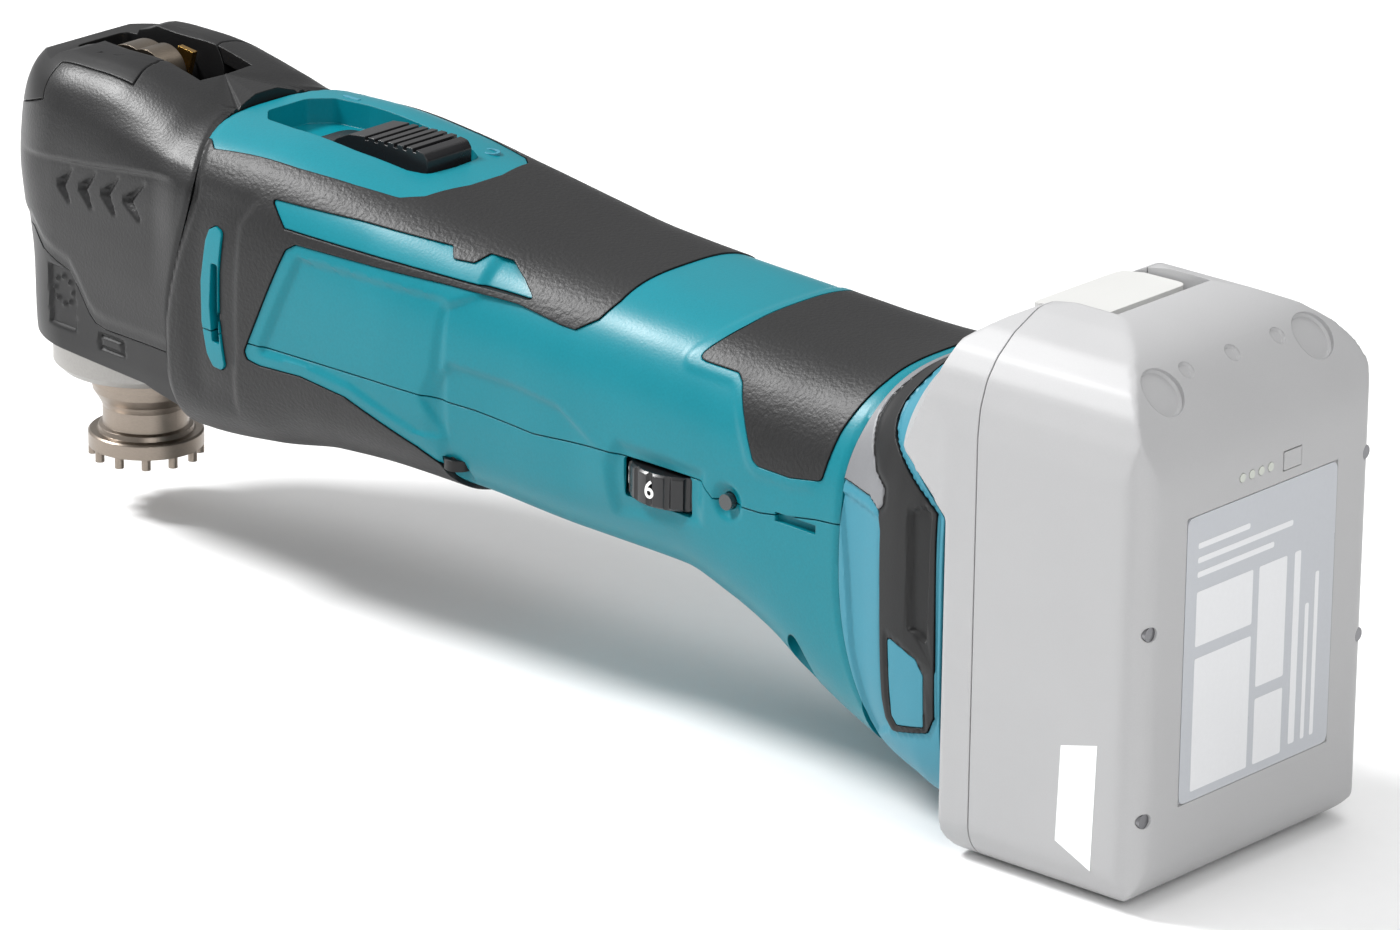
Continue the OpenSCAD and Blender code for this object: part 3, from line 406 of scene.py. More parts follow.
# ---------------------------------------------------------------- body form
# x, half width, top, bottom, top exponent, bottom exponent, widest height
STATIONS = np.array([
    (30, 31.4, 88.0, 16.5, 4.0, 3.4, 50),
    (42, 31.6, 88.2, 16.5, 4.0, 3.4, 50),
    (60, 33.0, 88.5, 17.5, 3.8, 3.0, 50),
    (80, 33.0, 87.0, 20.5, 3.6, 2.8, 50),
    (100, 33.0, 84.2, 21.5, 3.4, 2.8, 50),
    (120, 32.3, 81.7, 21.0, 3.2, 2.8, 49),
    (140, 31.3, 79.6, 20.0, 3.0, 2.8, 48),
    (160, 31.0, 78.2, 19.5, 3.0, 2.8, 47),
    (180, 31.3, 77.2, 19.0, 3.0, 2.8, 46),
    (195, 31.8, 76.4, 15.0, 3.0, 2.9, 44),
    (207, 32.4, 75.8, 10.0, 3.0, 3.0, 42),
    (218, 33.0, 75.6, 3.5, 3.0, 3.2, 40),
    (232, 34.0, 76.2, -2.8, 3.0, 3.4, 38),
    (238, 34.9, 78.2, -4.4, 3.0, 3.6, 38),
    (244, 36.3, 81.6, -5.4, 3.0, 4.0, 38),
    (250, 37.1, 84.0, -6.2, 3.2, 4.5, 38),
    (256, 37.4, 85.0, -7.6, 3.4, 5.0, 38),
    (263, 37.4, 85.0, -9.4, 3.4, 5.0, 38)])
GRIP_T, WALL, GAP, SEAM_GAP = 1.2, 2.4, 0.22, 0.16


def body_rings(xs, grow, m):
    xs = np.asarray(xs, float)
    w, top, low, n_top, n_low, mid = (pchip(STATIONS[:, 0], STATIONS[:, k], xs)[:, None] for k in range(1, 7))
    a = np.linspace(0, 2 * np.pi, 1440, endpoint=False)[None]
    upper = np.sin(a) >= 0
    n = np.where(upper, n_top, n_low)
    h = np.where(upper, top - mid, mid - low) + grow
    y = np.sign(np.cos(a)) * np.abs(np.cos(a)) ** (2 / n) * (w + grow)
    z = mid + np.sign(np.sin(a)) * np.abs(np.sin(a)) ** (2 / n) * h
    return resampled(np.stack([np.broadcast_to(xs[:, None], y.shape), y, z], -1), m)


def pushed_out(rings, relief):
    """The rings moved along the surface's normal by what relief says of each point."""
    if relief is None:
        return rings
    along = np.gradient(rings, axis=0)
    around = (np.roll(rings, -1, axis=1) - np.roll(rings, 1, axis=1)) / 2
    normal = np.cross(around, along)
    normal /= np.maximum(np.linalg.norm(normal, axis=-1, keepdims=True), 1e-9)
    return rings + normal * relief(rings)[..., None]


def body_solid(x0, x1, grow, step=0.8, m=300, relief=None):
    xs = np.linspace(x0, x1, int((x1 - x0) / step) + 1)
    return mesh(*closed_grid(pushed_out(body_rings(xs, grow, m), relief)))


def to_segment(p, a, b):
    """Each point's place along the segment, 0 to 1, and its distance from it."""
    a, b = np.asarray(a, float), np.asarray(b, float)
    t = np.clip(((p - a) @ (b - a)) / ((b - a) @ (b - a)), 0, 1)
    return t, np.linalg.norm(p - a - t[..., None] * (b - a), axis=-1)


def line_distance(p, route, closed=False):
    route = list(route) + ([route[0]] if closed else [])
    return np.min([to_segment(p, a, b)[1] for a, b in zip(route[:-1], route[1:])], axis=0)


def inside(p, outline):
    """Even-odd test of points (..., 2)."""
    o = np.asarray(outline, float)
    x, z = p[..., 0], p[..., 1]
    odd = np.zeros(x.shape, bool)
    for (x0, z0), (x1, z1) in zip(o, np.roll(o, -1, axis=0)):
        hit = (z0 > z) != (z1 > z)
        with np.errstate(divide="ignore", invalid="ignore"):
            at = x0 + (z - z0) * (x1 - x0) / (z1 - z0)
        odd ^= hit & (x < at)
    return odd


def front_gap(y, z):
    """Where in x the head cover meets the body."""
    return 36.8 + 1.7 * np.clip((z - 23) / 29, 0, 1) + 0.0085 * y * y * smooth((z - 45) / 37)


def rear_gap(z):
    """Where in x the body meets the rear module."""
    return 231.6 + 0.0066 * np.maximum(0, 40 - z) ** 2 + 2.4 * smooth((z - 56) / 20)


def behind_front_gap(shift):
    """A block that starts at the joint between the head cover and the body."""
    ys, zs = np.linspace(-50, 50, 101), np.linspace(-30, 125, 156)
    y, z = np.meshgrid(ys, zs, indexing="ij")
    front = np.stack([front_gap(y, z) + shift, y, z], -1)
    rear = front.copy()
    rear[..., 0] = 320
    n, m = y.shape
    a = np.arange(n * m).reshape(n, m)
    b = a + n * m
    quads = []
    for i, flip in ((a, True), (b, False)):
        q = np.stack([i[:-1, :-1], i[1:, :-1], i[1:, 1:], i[:-1, 1:]], -1).reshape(-1, 4)
        quads += (q[:, ::-1] if flip else q).tolist()
    loop = np.concatenate([a[:, 0], a[-1, 1:], a[-2::-1, -1], a[0, -2:0:-1]])
    for i, j in zip(loop, np.roll(loop, -1)):
        quads.append((i, j, j + n * m, i + n * m))
    return mesh(np.concatenate([front.reshape(-1, 3), rear.reshape(-1, 3)]), quads)


def ahead_of_rear_gap(shift):
    zs = np.linspace(-60, 120, 181)
    return prism([(-60, -60)] + [(rear_gap(z) + shift, z) for z in zs] + [(-60, 120)], "xz", -80, 80)


# outlines in x and z; BEZEL, half of it, and RECESS are in x and y
FRONT_GRIP = [(20, 5), (118, 5), (119, 24), (117.5, 31), (112, 34), (104, 37), (93, 41), (80, 42.6),
              (68, 42.2), (64.5, 42.8), (63.7, 44.4), (75.4, 69.6), (78, 71.2), (120, 71.2), (138, 70.6),
              (150, 69), (154, 68.8), (158.6, 71.6), (160.5, 75), (161, 100), (20, 100)]
STRIPE = [(69, 78.9), (74.1, 74), (106, 73.2), (141.2, 72), (136.4, 74.8), (131, 77.2), (125.4, 77.6),
          (123.4, 75.8), (118.3, 75.8), (116.3, 77.8), (92.5, 78.8)]
VENT = [(51.2, 66.4), (52.2, 69), (54, 70), (56.2, 69.2), (55.4, 60), (55.4, 50), (57, 39.4), (56, 38.2),
        (53.4, 38.4), (51.6, 41), (50, 48), (49.8, 57)]
BEZEL = [(20, 22), (43.4, 22), (47, 24.8), (71, 23.4), (86, 21.6), (96.6, 19.6), (100.6, 16.0),
         (102.0, 10), (103.2, 5)]
REAR_GRIP = [(185.4, 69.8), (197.5, 69.4), (199.5, 68), (203.1, 61.8), (207, 54.5), (208.5, 53.6),
             (217.3, 53.4), (226, 54.8), (228, 65), (231, 74), (232.5, 100), (191.5, 100), (191, 76)]
PANEL_FRAME = [(78.6, 68.9), (121, 68.7), (121, 37.2), (112.5, 36.9), (105, 39.4), (93.6, 43.4), (80, 45),
               (69, 44.7), (67.4, 45.6)]
SEAM = [(100, 46.4), (128.6, 46.0), (145, 44.8), (164.5, 46.2), (192.7, 46.2), (196, 43.6), (209.6, 44),
        (225, 46.6), (240, 48)]
DIAL_RIM = [(165, 43.9), (166.4, 31.6), (186, 34.2), (193.6, 36.6), (194.4, 49.6), (168.6, 50.2)]
RECESS = [(44.6, -6), (44.6, 6), (49, 10.6), (58, 11.6), (76, 11.4), (90, 10.2), (94, 8), (94.6, 0), (94, -8),
          (90, -10.2), (76, -11.4), (58, -11.6), (49, -10.6)]
RECESS_FLOOR = 82.6
DIAL = (180.0, -20.8, 41.7)
LAMP_X, LAMP_Z = 200.3, 44


def body_relief(p):
    """How far the body's surface stands proud: panel, creases, welt, and the dial's and the lamp's places."""
    xz = p[..., [0, 2]]
    side = np.abs(p[..., 1]) > 14
    out = np.zeros(p.shape[:-1])
    d = line_distance(xz, PANEL_FRAME, closed=True)
    sunk = inside(xz, PANEL_FRAME)
    depth = np.where(sunk, smooth(d / 0.9), 0) * smooth((123 - xz[..., 0]) / 6)
    out -= np.where(side, 0.7 * depth, 0)
    # the fold where the panel's field steps back to the handle
    fold = np.array([(126.5, 70.5), (118.2, 66.5), (116.5, 52), (113.4, 45.4), (119, 38), (116, 30)])
    at = np.interp(p[..., 2], fold[::-1, 1], fold[::-1, 0])
    out -= np.where(side, 0.75 * smooth((p[..., 0] - at) / 2.0) * smooth((152 - p[..., 0]) / 30), 0)
    # the long flat below the fold, between the panel and the dial
    edge = np.interp(p[..., 0], [113, 122, 140, 152, 165], [44, 55.5, 55.0, 53.4, 46])
    flat = smooth((edge - p[..., 2]) / 1.6) * smooth((p[..., 0] - 114) / 6) * smooth((168 - p[..., 0]) / 14)
    out -= np.where(side, 0.7 * flat * smooth((p[..., 2] - 30) / 10), 0)
    gap = p[..., 0] - front_gap(p[..., 1], p[..., 2])
    out -= 0.6 * smooth((1.4 - np.abs(gap)) / 1.3)
    # raised welt round the rear grip
    welt = line_distance(xz, REAR_GRIP, closed=True)
    out += 0.35 * smooth((2.6 - welt) / 1.2) * smooth((226 - p[..., 0]) / 4)
    gap = rear_gap(p[..., 2]) - p[..., 0]
    out -= 0.5 * smooth((1.3 - np.abs(gap)) / 1.2)
    # the dial window's sloped surround
    rim = line_distance(xz, DIAL_RIM, closed=True)
    out -= np.where((p[..., 1] < -20) & inside(xz, DIAL_RIM), 0.9 * smooth(rim / 3.0), 0)
    # the dish round the lamp
    lamp = np.hypot(p[..., 0] - LAMP_X, p[..., 2] - LAMP_Z)
    out -= np.where(p[..., 1] < -20, 1.1 * smooth((4.2 - lamp) / 1.8), 0)
    return out


def grip_relief(p):
    """The rubber's edge at the joint, the hollow round the vent and the fold behind it."""
    x, y, z = p[..., 0], p[..., 1], p[..., 2]
    gap = x - front_gap(y, z)
    out = -0.75 * smooth((1.6 - np.abs(gap)) / 1.5)
    fold = np.interp(z, [20, 36, 44, 58, 72, 78], [58, 60.5, 61.6, 61.6, 62.2, 66])
    dent = smooth((fold - x) / 1.8) * smooth((x - 42) / 7) * smooth((z - 26) / 8) * smooth((80 - z) / 6)
    out -= np.where(np.abs(y) > 14, 0.8 * dent, 0)
    gap = rear_gap(z) - 1.0 - x
    return out - 0.6 * smooth((1.5 - np.abs(gap)) / 1.4)


# ---------------------------------------------------------------- body shells
def seam_cutter(above, shift):
    line = [(x, z + shift) for x, z in SEAM]
    line = [(0, line[0][1])] + line + [(300, line[-1][1])]
    return prism(line + ([(300, 140), (0, 140)] if above else [(300, -60), (0, -60)]), "xz", -80, 80)


def side_zone(outline, r, grow=0.0, lo=-70, hi=70):
    """A side outline with corners of radius r, moved outwards by grow and run from lo to hi in y."""
    return prism(offset(rounded(outline, r), grow), "xz", lo, hi)


outer = body_solid(32, 237, 0, relief=body_relief)
under = body_solid(31, 238, -GRIP_T)
hollow = body_solid(30, 239, -GRIP_T - WALL, step=2.0, m=120)
proud = body_solid(31.5, 237.5, 0.3, relief=grip_relief)


def front_zone(grow):
    """The front grip's place: its side outline less the stripe, the vent's surround and the bezel."""
    zone = side_zone(FRONT_GRIP, 1.2, grow)
    for side in sides(12, 70):
        cut(zone, side_zone(STRIPE, 0.5, -grow, *side))
        cut(zone, side_zone(VENT, 1.0, -grow, *side))
    cut(zone, prism(offset(rounded(mirrored(BEZEL), 2.2), -grow), "xy", 60, 130))
    return zone


def screw_wells():
    """The four wells of the housing's screws, as one solid."""
    wells = None
    for x, y, z in ((121, 27, 33), (218, 27.6, 24)):
        for s in (-1, 1):
            well = cylinder((x, s * y, (z - 40) / 2), "z", 3.5, z + 40)
            wells = well if wells is None else cut(wells, well, "UNION")
    return wells


grip = cut(copy(proud), under, keep=True)
cut(grip, front_zone(-GAP), "INTERSECT")
cut(grip, behind_front_gap(0.0), "INTERSECT")
cut(grip, screw_wells())
piece(grip, "Front_Grip_Rubber", "housing", RUBBER, "grip_rubber", "front_grip")

saddle = cut(proud, under, keep=True)
cut(saddle, side_zone(REAR_GRIP, 1.6, -GAP), "INTERSECT")
cut(saddle, ahead_of_rear_gap(-1.0), "INTERSECT")
piece(saddle, "Rear_Grip_Rubber", "housing", RUBBER, "grip_rubber", "rear_grip")

shell = cut(outer, hollow)
skin = copy(under)
for zone in (front_zone(0.0), side_zone(REAR_GRIP, 1.6)):
    ring = body_solid(29, 240, 3.0, step=4.0, m=100)
    cut(ring, skin, keep=True)
    cut(zone, ring, "INTERSECT")
    cut(shell, zone)
drop(skin)
drop(under)
cut(shell, screw_wells())
# dial window, lamp hole, joint slots and fan vents
WINDOW_U, WINDOW_W = 9.6, 4.4
window = rectangle(DIAL[0] - WINDOW_U, DIAL[2] - WINDOW_W, DIAL[0] + WINDOW_U, DIAL[2] + WINDOW_W)
cut(shell, side_zone(window, 1.0, 0.0, -60, -20))
cut(shell, cylinder(DIAL, "z", 12.95, 8.2, n=96))
cut(shell, cylinder((LAMP_X, -40, LAMP_Z), "y", 1.85, 40))
opening = [(53.2, 61.8), (52.6, 52), (53.4, 44.2), (55.9, 43.9), (55.3, 52), (55.3, 61.8)]
for slot, vent in zip(sides(31.4, 60), sides(20, 60)):
    cut(shell, block((213.8, slot[0], 43.4), (225.2, slot[1], 45.4)))
    cut(shell, side_zone(opening, 0.6, 0.0, *vent))
# recess of the slide switch
recess = rounded(RECESS, 3.0, 8)
tub = prism(offset(recess, 3.0), "xy", RECESS_FLOOR - 2.4, 87.6)
cut(tub, body_solid(40, 104, -0.6, step=2.0, m=160), "INTERSECT")
cut(shell, tub, "UNION")
cut(shell, prism(recess, "xy", RECESS_FLOOR, 120))
cut(shell, block((66.6, -3.2, 60), (86.4, 3.2, 90)))
cut(shell, behind_front_gap(0.0), "INTERSECT")
cut(shell, ahead_of_rear_gap(0.0), "INTERSECT")
lower = copy(shell)
cut(shell, seam_cutter(True, SEAM_GAP), "INTERSECT")
cut(lower, seam_cutter(False, -SEAM_GAP), "INTERSECT")
piece(shell, "Body_Upper_Half", "housing", TEAL, "teal_shell", "housing_upper")
piece(lower, "Body_Lower_Half", "housing", TEAL, "teal_shell", "housing_lower")

# ---------------------------------------------------------------- head
# height, radius of the round front, half width at WIDTH_AT
LEVELS = np.array([
    (22, 23.4, 25.0), (30, 24.4, 28.4), (45, 24.8, 30.8), (52, 25.4, 31.4), (59, 26.3, 31.5),
    (68, 27.0, 31.4), (76, 26.6, 30.6), (82, 25.8, 28.6), (87, 24.2, 24.6), (90.5, 21.6, 20.6),
    (93, 17.6, 16.4), (94.3, 13.6, 12.0), (94.6, 10.0, 9.0)])
ROOF = [(-40, 94.6), (8, 94.6), (14, 94.2), (20, 93), (30, 90.5), (38, 88.3), (60, 87.9)]
COVER_EDGE = [(-40, 54), (-22, 54), (-12, 53.4), (-7.6, 49.4), (-3, 47.8), (2.0, 46.6), (4.8, 43.4),
              (8.4, 38.4), (10.6, 36.6), (14, 36.0), (30, 36.3), (60, 36.3)]
LEVER_EDGE = [(-40, 72.6), (-24, 78), (5, 88), (15.6, 92.6)]
LEVER_TOP = [(-40, 80.0), (-26.4, 83.0), (-24.4, 86.2), (-20.5, 89.6), (-16.5, 91.2), (-9.6, 91.2),
             (-8.9, 92.4), (-5.5, 93.4), (-2.0, 95.0), (-2.0, 120), (-40, 120)]
HEAD_BACK, WIDTH_AT, ROOF_FROM = 58.0, 46, 74
LEVER_AXIS = (6.0, 86.5)
POCKET, ARM, SLOT = 12.0, 19.2, 8.0
LEVER_GAP, ARM_GAP = 0.2, 0.35


def head_rings(grow, zs, m):
    r, w = (pchip(LEVELS[:, 0], LEVELS[:, k], zs) + grow for k in (1, 2))
    out = []
    for z, ri, wi in zip(zs, r, w):
        wide = ri + (wi - ri) * HEAD_BACK / WIDTH_AT
        sin_a = (wide - ri) / HEAD_BACK
        a0 = math.pi / 2 + math.asin(np.clip(sin_a, -1, 1))
        a = np.linspace(a0, 2 * np.pi - a0, 200)
        arc = np.stack([np.cos(a) * ri, np.sin(a) * ri], -1)
        loop = np.vstack([arc, [[HEAD_BACK, -wide], [HEAD_BACK, wide]]])
        out.append(np.concatenate([loop, np.full((len(loop), 1), z)], -1))
    rings = resampled(np.array(out), m)
    xs, zr = np.array(ROOF)[:, 0], np.array(ROOF)[:, 1]
    roof = pchip(xs, zr, rings[..., 0]) + grow
    top = LEVELS[-1, 0]
    over = rings[..., 2] - ROOF_FROM
    bent = ROOF_FROM + over * (roof - ROOF_FROM) / (top - ROOF_FROM)
    rings[..., 2] = np.where(over > 0, bent, rings[..., 2])
    return rings


CREASE = [(-24, 71.6), (-6.7, 72.4), (10.9, 74.2), (27.4, 76.4), (34, 77.2), (60, 78.4)]
CHEVRONS = [((0.5, 66.7), (4.2, 71.0), (3.0, 62.9)), ((8.0, 67.5), (12.1, 71.8), (10.9, 63.2)),
            ((15.7, 68.1), (19.9, 72.5), (18.9, 63.8)), ((23.3, 68.4), (28.6, 73.3), (27.4, 64.6))]
TILE = rectangle(-6.2, 46.6, 3.6, 32.4)
TILE_DOTS = (-1.3, 41.0)
CATCH = rectangle(11.5, 34.2, 19.5, 31.2)


def head_relief(p):
    """Sinks the cheeks below their crease, and cuts the four arrow marks, which are deepest at the tip."""
    xz = p[..., [0, 2]]
    side = np.abs(p[..., 1]) > 8
    x, z = p[..., 0], p[..., 2]
    out = np.zeros(x.shape)
    line = np.interp(x, [c[0] for c in CREASE], [c[1] for c in CREASE])
    cheek = smooth((line - z) / 1.5) * smooth((z - 44) / 24) * smooth((x + 16) / 12) * smooth((41 - x) / 10)
    out -= np.where(side, 1.2 * cheek, 0)
    marks = np.zeros(x.shape)
    for tip, high, low in CHEVRONS:
        for end in (high, low):
            t, d = to_segment(xz, tip, end)
            marks = np.maximum(marks, (1.5 - 0.8 * t) * smooth((1.55 - 0.9 * t - d) / 1.0))
    out -= np.where(side, marks, 0)
    edge = np.interp(x, [c[0] for c in COVER_EDGE], [c[1] for c in COVER_EDGE])
    lip = np.where(side, 0.5 * smooth((z - edge - 1.0) / 3.0) - 0.5, -0.5)
    out += lip * smooth((z - 30) / 4) * smooth((66 - z) / 10)
    # the cover's edge dips to the joint with the body
    gap = front_gap(p[..., 1], z) - 0.4 - x
    out -= 0.55 * smooth((1.3 - np.abs(gap)) / 1.2)
    return out


def guard_relief(p):
    """The nose guard's sunk tile, the ring of dots on it and the outline of its catch."""
    xz = p[..., [0, 2]]
    side = np.abs(p[..., 1]) > 12
    out = -np.where(side & inside(xz, TILE), 0.75 * smooth(line_distance(xz, TILE, closed=True) / 0.35), 0)
    for k in range(8):
        spot = np.array(TILE_DOTS) + 3.1 * np.array([math.cos(math.pi * k / 4), math.sin(math.pi * k / 4)])
        out += np.where(side, 0.6 * smooth((0.75 - np.linalg.norm(xz - spot, axis=-1)) / 0.4), 0)
    out -= np.where(side, 0.6 * smooth((0.55 - line_distance(xz, CATCH, closed=True)) / 0.3), 0)
    return out


def head_solid(grow, relief=None, step=0.45, m=420):
    zs = np.concatenate([np.arange(22, 90, step), np.linspace(90, LEVELS[-1, 0], 26)])
    return mesh(*closed_grid(pushed_out(head_rings(grow, zs, m), relief)))


def above_line(shift):
    edge = [(x, z + shift) for x, z in LEVER_EDGE]
    return prism(edge + [(15.6, 130), (-40, 130)], "xz", -60, 60)


def hinge(r, length):
    """A cylinder about the lever's axis."""
    return cylinder((LEVER_AXIS[0], 0, LEVER_AXIS[1]), "y", r, length, n=96)


head = head_solid(0.0, head_relief)
lever = cut(copy(head), above_line(LEVER_GAP), "INTERSECT")
reach = block((-40, -60, 0), (LEVER_AXIS[0], 60, 120))
cut(reach, hinge(POCKET + 0.25, 130))
cut(reach, block((-40.01, -ARM, 1), (LEVER_AXIS[0] - 0.01, ARM, 119)), "UNION")
cut(reach, hinge(POCKET - 0.5, 2 * ARM - 0.02), "UNION")
cut(lever, reach, "INTERSECT")
# full discs round the hinge, so that no hole shows between lever and cover
disc = hinge(POCKET - 0.5, 2 * ARM - 0.04)
cut(disc, head_solid(0.0, step=1.0, m=240), "INTERSECT")
cut(lever, disc, "UNION")
cut(lever, prism(rounded(rectangle(-13, -SLOT, 40, SLOT), 2.5), "xy", 60, 120))
cut(lever, prism(LEVER_TOP, "xz", -60, 60))
piece(lever, "Clamp_Lever", "lever", BLACK, "black_shell", "lever")

cover = cut(head, head_solid(-WALL - 0.9, step=1.5, m=140))
cut(cover, behind_front_gap(-0.4))
cut(cover, prism([(60, -20), (-60, -20)] + COVER_EDGE, "xz", -60, 60))
mouth = block((-60, -60, 0), (LEVER_AXIS[0], 60, 120))
cut(mouth, hinge(POCKET, 130))
cut(mouth, block((-60.01, -ARM - ARM_GAP, 1), (LEVER_AXIS[0] - 0.01, ARM + ARM_GAP, 119)), "UNION")
cut(mouth, above_line(-LEVER_GAP), "INTERSECT")
cut(cover, mouth)
# the round pocket between the lever's arms, and the slot below it
cut(cover, hinge(POCKET, 2 * (ARM + ARM_GAP)))
cut(cover, block((-13, -SLOT, 60), (26, SLOT, 120)))
piece(cover, "Head_Cover", "housing", HEAD, "black_shell", "head_cover")

guard = head_solid(-0.5, guard_relief, step=0.5, m=420)
cut(guard, prism([(60, 130), (-60, 130)] + [(x, z - 0.25) for x, z in COVER_EDGE], "xz", -60, 60))
cut(guard, behind_front_gap(-0.4))
cut(guard, prism([(-60, -20), (60, -20), (60, 22.4), (36, 23), (28, 25), (25, 26), (-60, 30)], "xz", -60, 60))
cut(guard, cylinder((0, 0, 50), "z", 20.65, 80, n=96))
cut(guard, block((0, -18.2, 10), (60, 18.2, 69)))
cut(guard, block((34.6, -26, 27), (60, 26, 90)))
piece(guard, "Nose_Guard", "housing", BLACK, "black_shell", "nose_guard")

# ---------------------------------------------------------------- slide switch
PAD = [(60.4, 83.0), (92.6, 83.0), (92.7, 87.4), (91.6, 88.8), (88.4, 89.3), (84, 89.3), (79, 89.0),
       (74, 88.9), (69.6, 88.4), (66.2, 86.8), (63, 84.6)]
pad = prism(rounded(PAD, 0.8, 4), "xz", -6.9, 6.9)
cut(pad, prism(rounded(rectangle(60, -6.9, 94, 6.9), 1.6), "xy", 80, 95), "INTERSECT")
GROOVES, GROOVE_STEP = 6, 2.8
for i in range(GROOVES):
    x = 74.4 + GROOVE_STEP * i
    cut(pad, block((x, -9, 88.2 + 0.05 * i), (x + 1.1, 9, 95)))
base = prism(rounded(rectangle(56.6, -6.8, 92.4, 6.8), 4.0, 8), "xy", RECESS_FLOOR + 0.15, 84.0)
cut(pad, base, "UNION")
cut(pad, block((74, -2.9, 79.2), (85, 2.9, 84)), "UNION")
piece(pad, "Slide_Switch_Pad", "slide_switch", GLOSS, "gloss_black", "switch_slider")

# ---------------------------------------------------------------- dial
DIAL_R, DIGIT_R, WRAP_R, NOTCHES, DIGIT_TURN = 12.35, 12.40, 12.45, 18, 50


def on_dial(r, a, up_by=0.0):
    """A place at radius r and angle a about the dial's axis."""
    return DIAL[0] + r * math.cos(a), DIAL[1] + r * math.sin(a), DIAL[2] + up_by


dial = lathe([(11.8, -3.7), (DIAL_R, -3.2), (DIAL_R, 3.2), (11.8, 3.7)], DIAL, 144)
for k in range(NOTCHES):
    cut(dial, cylinder(on_dial(12.7, math.radians(20 * k + 10)), "z", 0.95, 9, n=16))
piece(dial, "Speed_Dial", "speed_dial", GLOSS, "black_shell", "speed_dial")


def wrapped_digit(text, angle, size):
    """A digit laid on the dial's rim, centred at an angle about its axis."""
    curve = bpy.data.curves.new("digit", "FONT")
    curve.body, curve.align_x, curve.align_y = text, "CENTER", "CENTER"
    curve.size, curve.offset = size * MM, 0.06 * MM
    holder = bpy.data.objects.new("digit", curve)
    bpy.context.scene.collection.objects.link(holder)
    graph = bpy.context.evaluated_depsgraph_get()
    data = bpy.data.meshes.new_from_object(holder.evaluated_get(graph))
    bpy.data.objects.remove(holder)
    for v in data.vertices:
        u, w = v.co.x / MM, v.co.y / MM
        v.co = Vector(on_dial(DIGIT_R, angle + u / WRAP_R, w)) * MM
    obj = bpy.data.objects.new("Digit_" + text, data)
    bpy.context.scene.collection.objects.link(obj)
    mod = obj.modifiers.new("t", "SOLIDIFY")
    mod.thickness, mod.offset = 0.1 * MM, 0.0
    return applied(obj)


for number in range(6, 0, -1):
    digit = wrapped_digit(str(number), math.radians(-90 - DIGIT_TURN * (6 - number)), 5.4)
    piece(digit, "Dial_Digit_%d" % number, "speed_dial", INK, "white_plastic", angle=30)

# ---------------------------------------------------------------- rear module
BUMPER = [(222, 57.2), (232.6, 56.8), (240, 55.6), (243.4, 53.6), (244.4, 50), (245.6, 14.4),
          (246.2, 10.2), (248, 7.6), (258.5, 10.4), (260.4, 14.3), (259.9, 57.6), (244.6, 68.6),
          (242.6, 71.6), (242.2, 74.6), (243.6, 79), (244.2, 110), (222, 110)]
CHANNEL = [(252.9, 31.5), (258.4, 29.4), (258.7, 56.8), (256.6, 58.4), (252.2, 56.6)]
BADGE = [(247.4, 28.4), (255.2, 25.6), (257.3, 22.6), (257.4, 11.4), (249.6, 9.6), (248.2, 11.4)]
CROWN = [(218, 57.6), (232.6, 57.2), (240, 56.0), (243.4, 54.0), (244.6, 55.4), (244.4, 58.6),
         (240.9, 60.9), (237.9, 65), (235.7, 69.6), (235.5, 73), (236.6, 76), (237, 110), (218, 110)]
PANEL = [(231, 54.6), (243.0, 52.6), (244.2, 50), (244.9, 35.7), (246.3, 15.5), (247.0, 7.5),
         (240.5, 4.0), (238.4, 8.5), (235.2, 22), (233.4, 40)]


def module_relief(p):
    xz, side = p[..., [0, 2]], np.abs(p[..., 1]) > 20
    d = line_distance(xz, PANEL, closed=True)
    out = -np.where(side & inside(xz, PANEL), 0.7 * smooth(d / 0.7), 0)
    d = line_distance(xz, BUMPER, closed=True)
    return out - np.where(~inside(xz, BUMPER), 0.35 * smooth((1.1 - d) / 0.7), 0)


def module_space():
    """Everything ahead of the battery's face, with the joint to the body left open."""
    face = [(261.6, -60), (261.6, 57), (250, 67.7), (248.2, 70.4), (247.4, 74), (247.3, 84), (247.3, 130)]
    ahead = cut(ahead_of_rear_gap(0.4), block((-100, -90, -70), (400, 90, 130)), "INTERSECT")
    return cut(prism([(200, -60)] + face + [(200, 130)], "xz", -79, 79), ahead)


def rail_slot():
    """The slot that the battery's foot slides in."""
    return block((252.6, -21.4, -4.6), (300, 21.4, 120))


module = body_solid(226, 263, 0, step=0.45, m=340, relief=module_relief)
cut(module, module_space(), "INTERSECT")
skirt = body_solid(224, 236, -GRIP_T - WALL - 0.3, step=2.0, m=160)
cut(skirt, block((220, -60, -30), (234.5, 60, 120)), "INTERSECT")
cut(module, skirt, "UNION")
room = body_solid(220, 263, -GRIP_T - WALL - 2, step=2.0, m=120)
ROOM_SIDE = [(200, -20), (249.6, -20), (249.6, 64), (244.6, 69), (244.6, 120), (200, 120)]
cut(room, prism(ROOM_SIDE, "xz", -70, 70), "INTERSECT")
cut(module, room)
cut(module, block((252.6, -24.4, -4.6), (258.8, 24.4, 120)))
cut(module, rail_slot())
cut(module, block((246, -19, -2), (254, 19, 48)))


def below_band():
    """What lies below the bumper's band."""
    return body_solid(223, 264, -GRIP_T, step=0.9, m=240)


band = cut(body_solid(224, 263, 3.0, step=0.45, m=340), below_band())
cut(band, side_zone(BUMPER, 1.4), "INTERSECT")
cut(module, band)
piece(module, "Rear_Module_Body", "housing", TEAL_LIGHT, "teal_light", "rear_module")


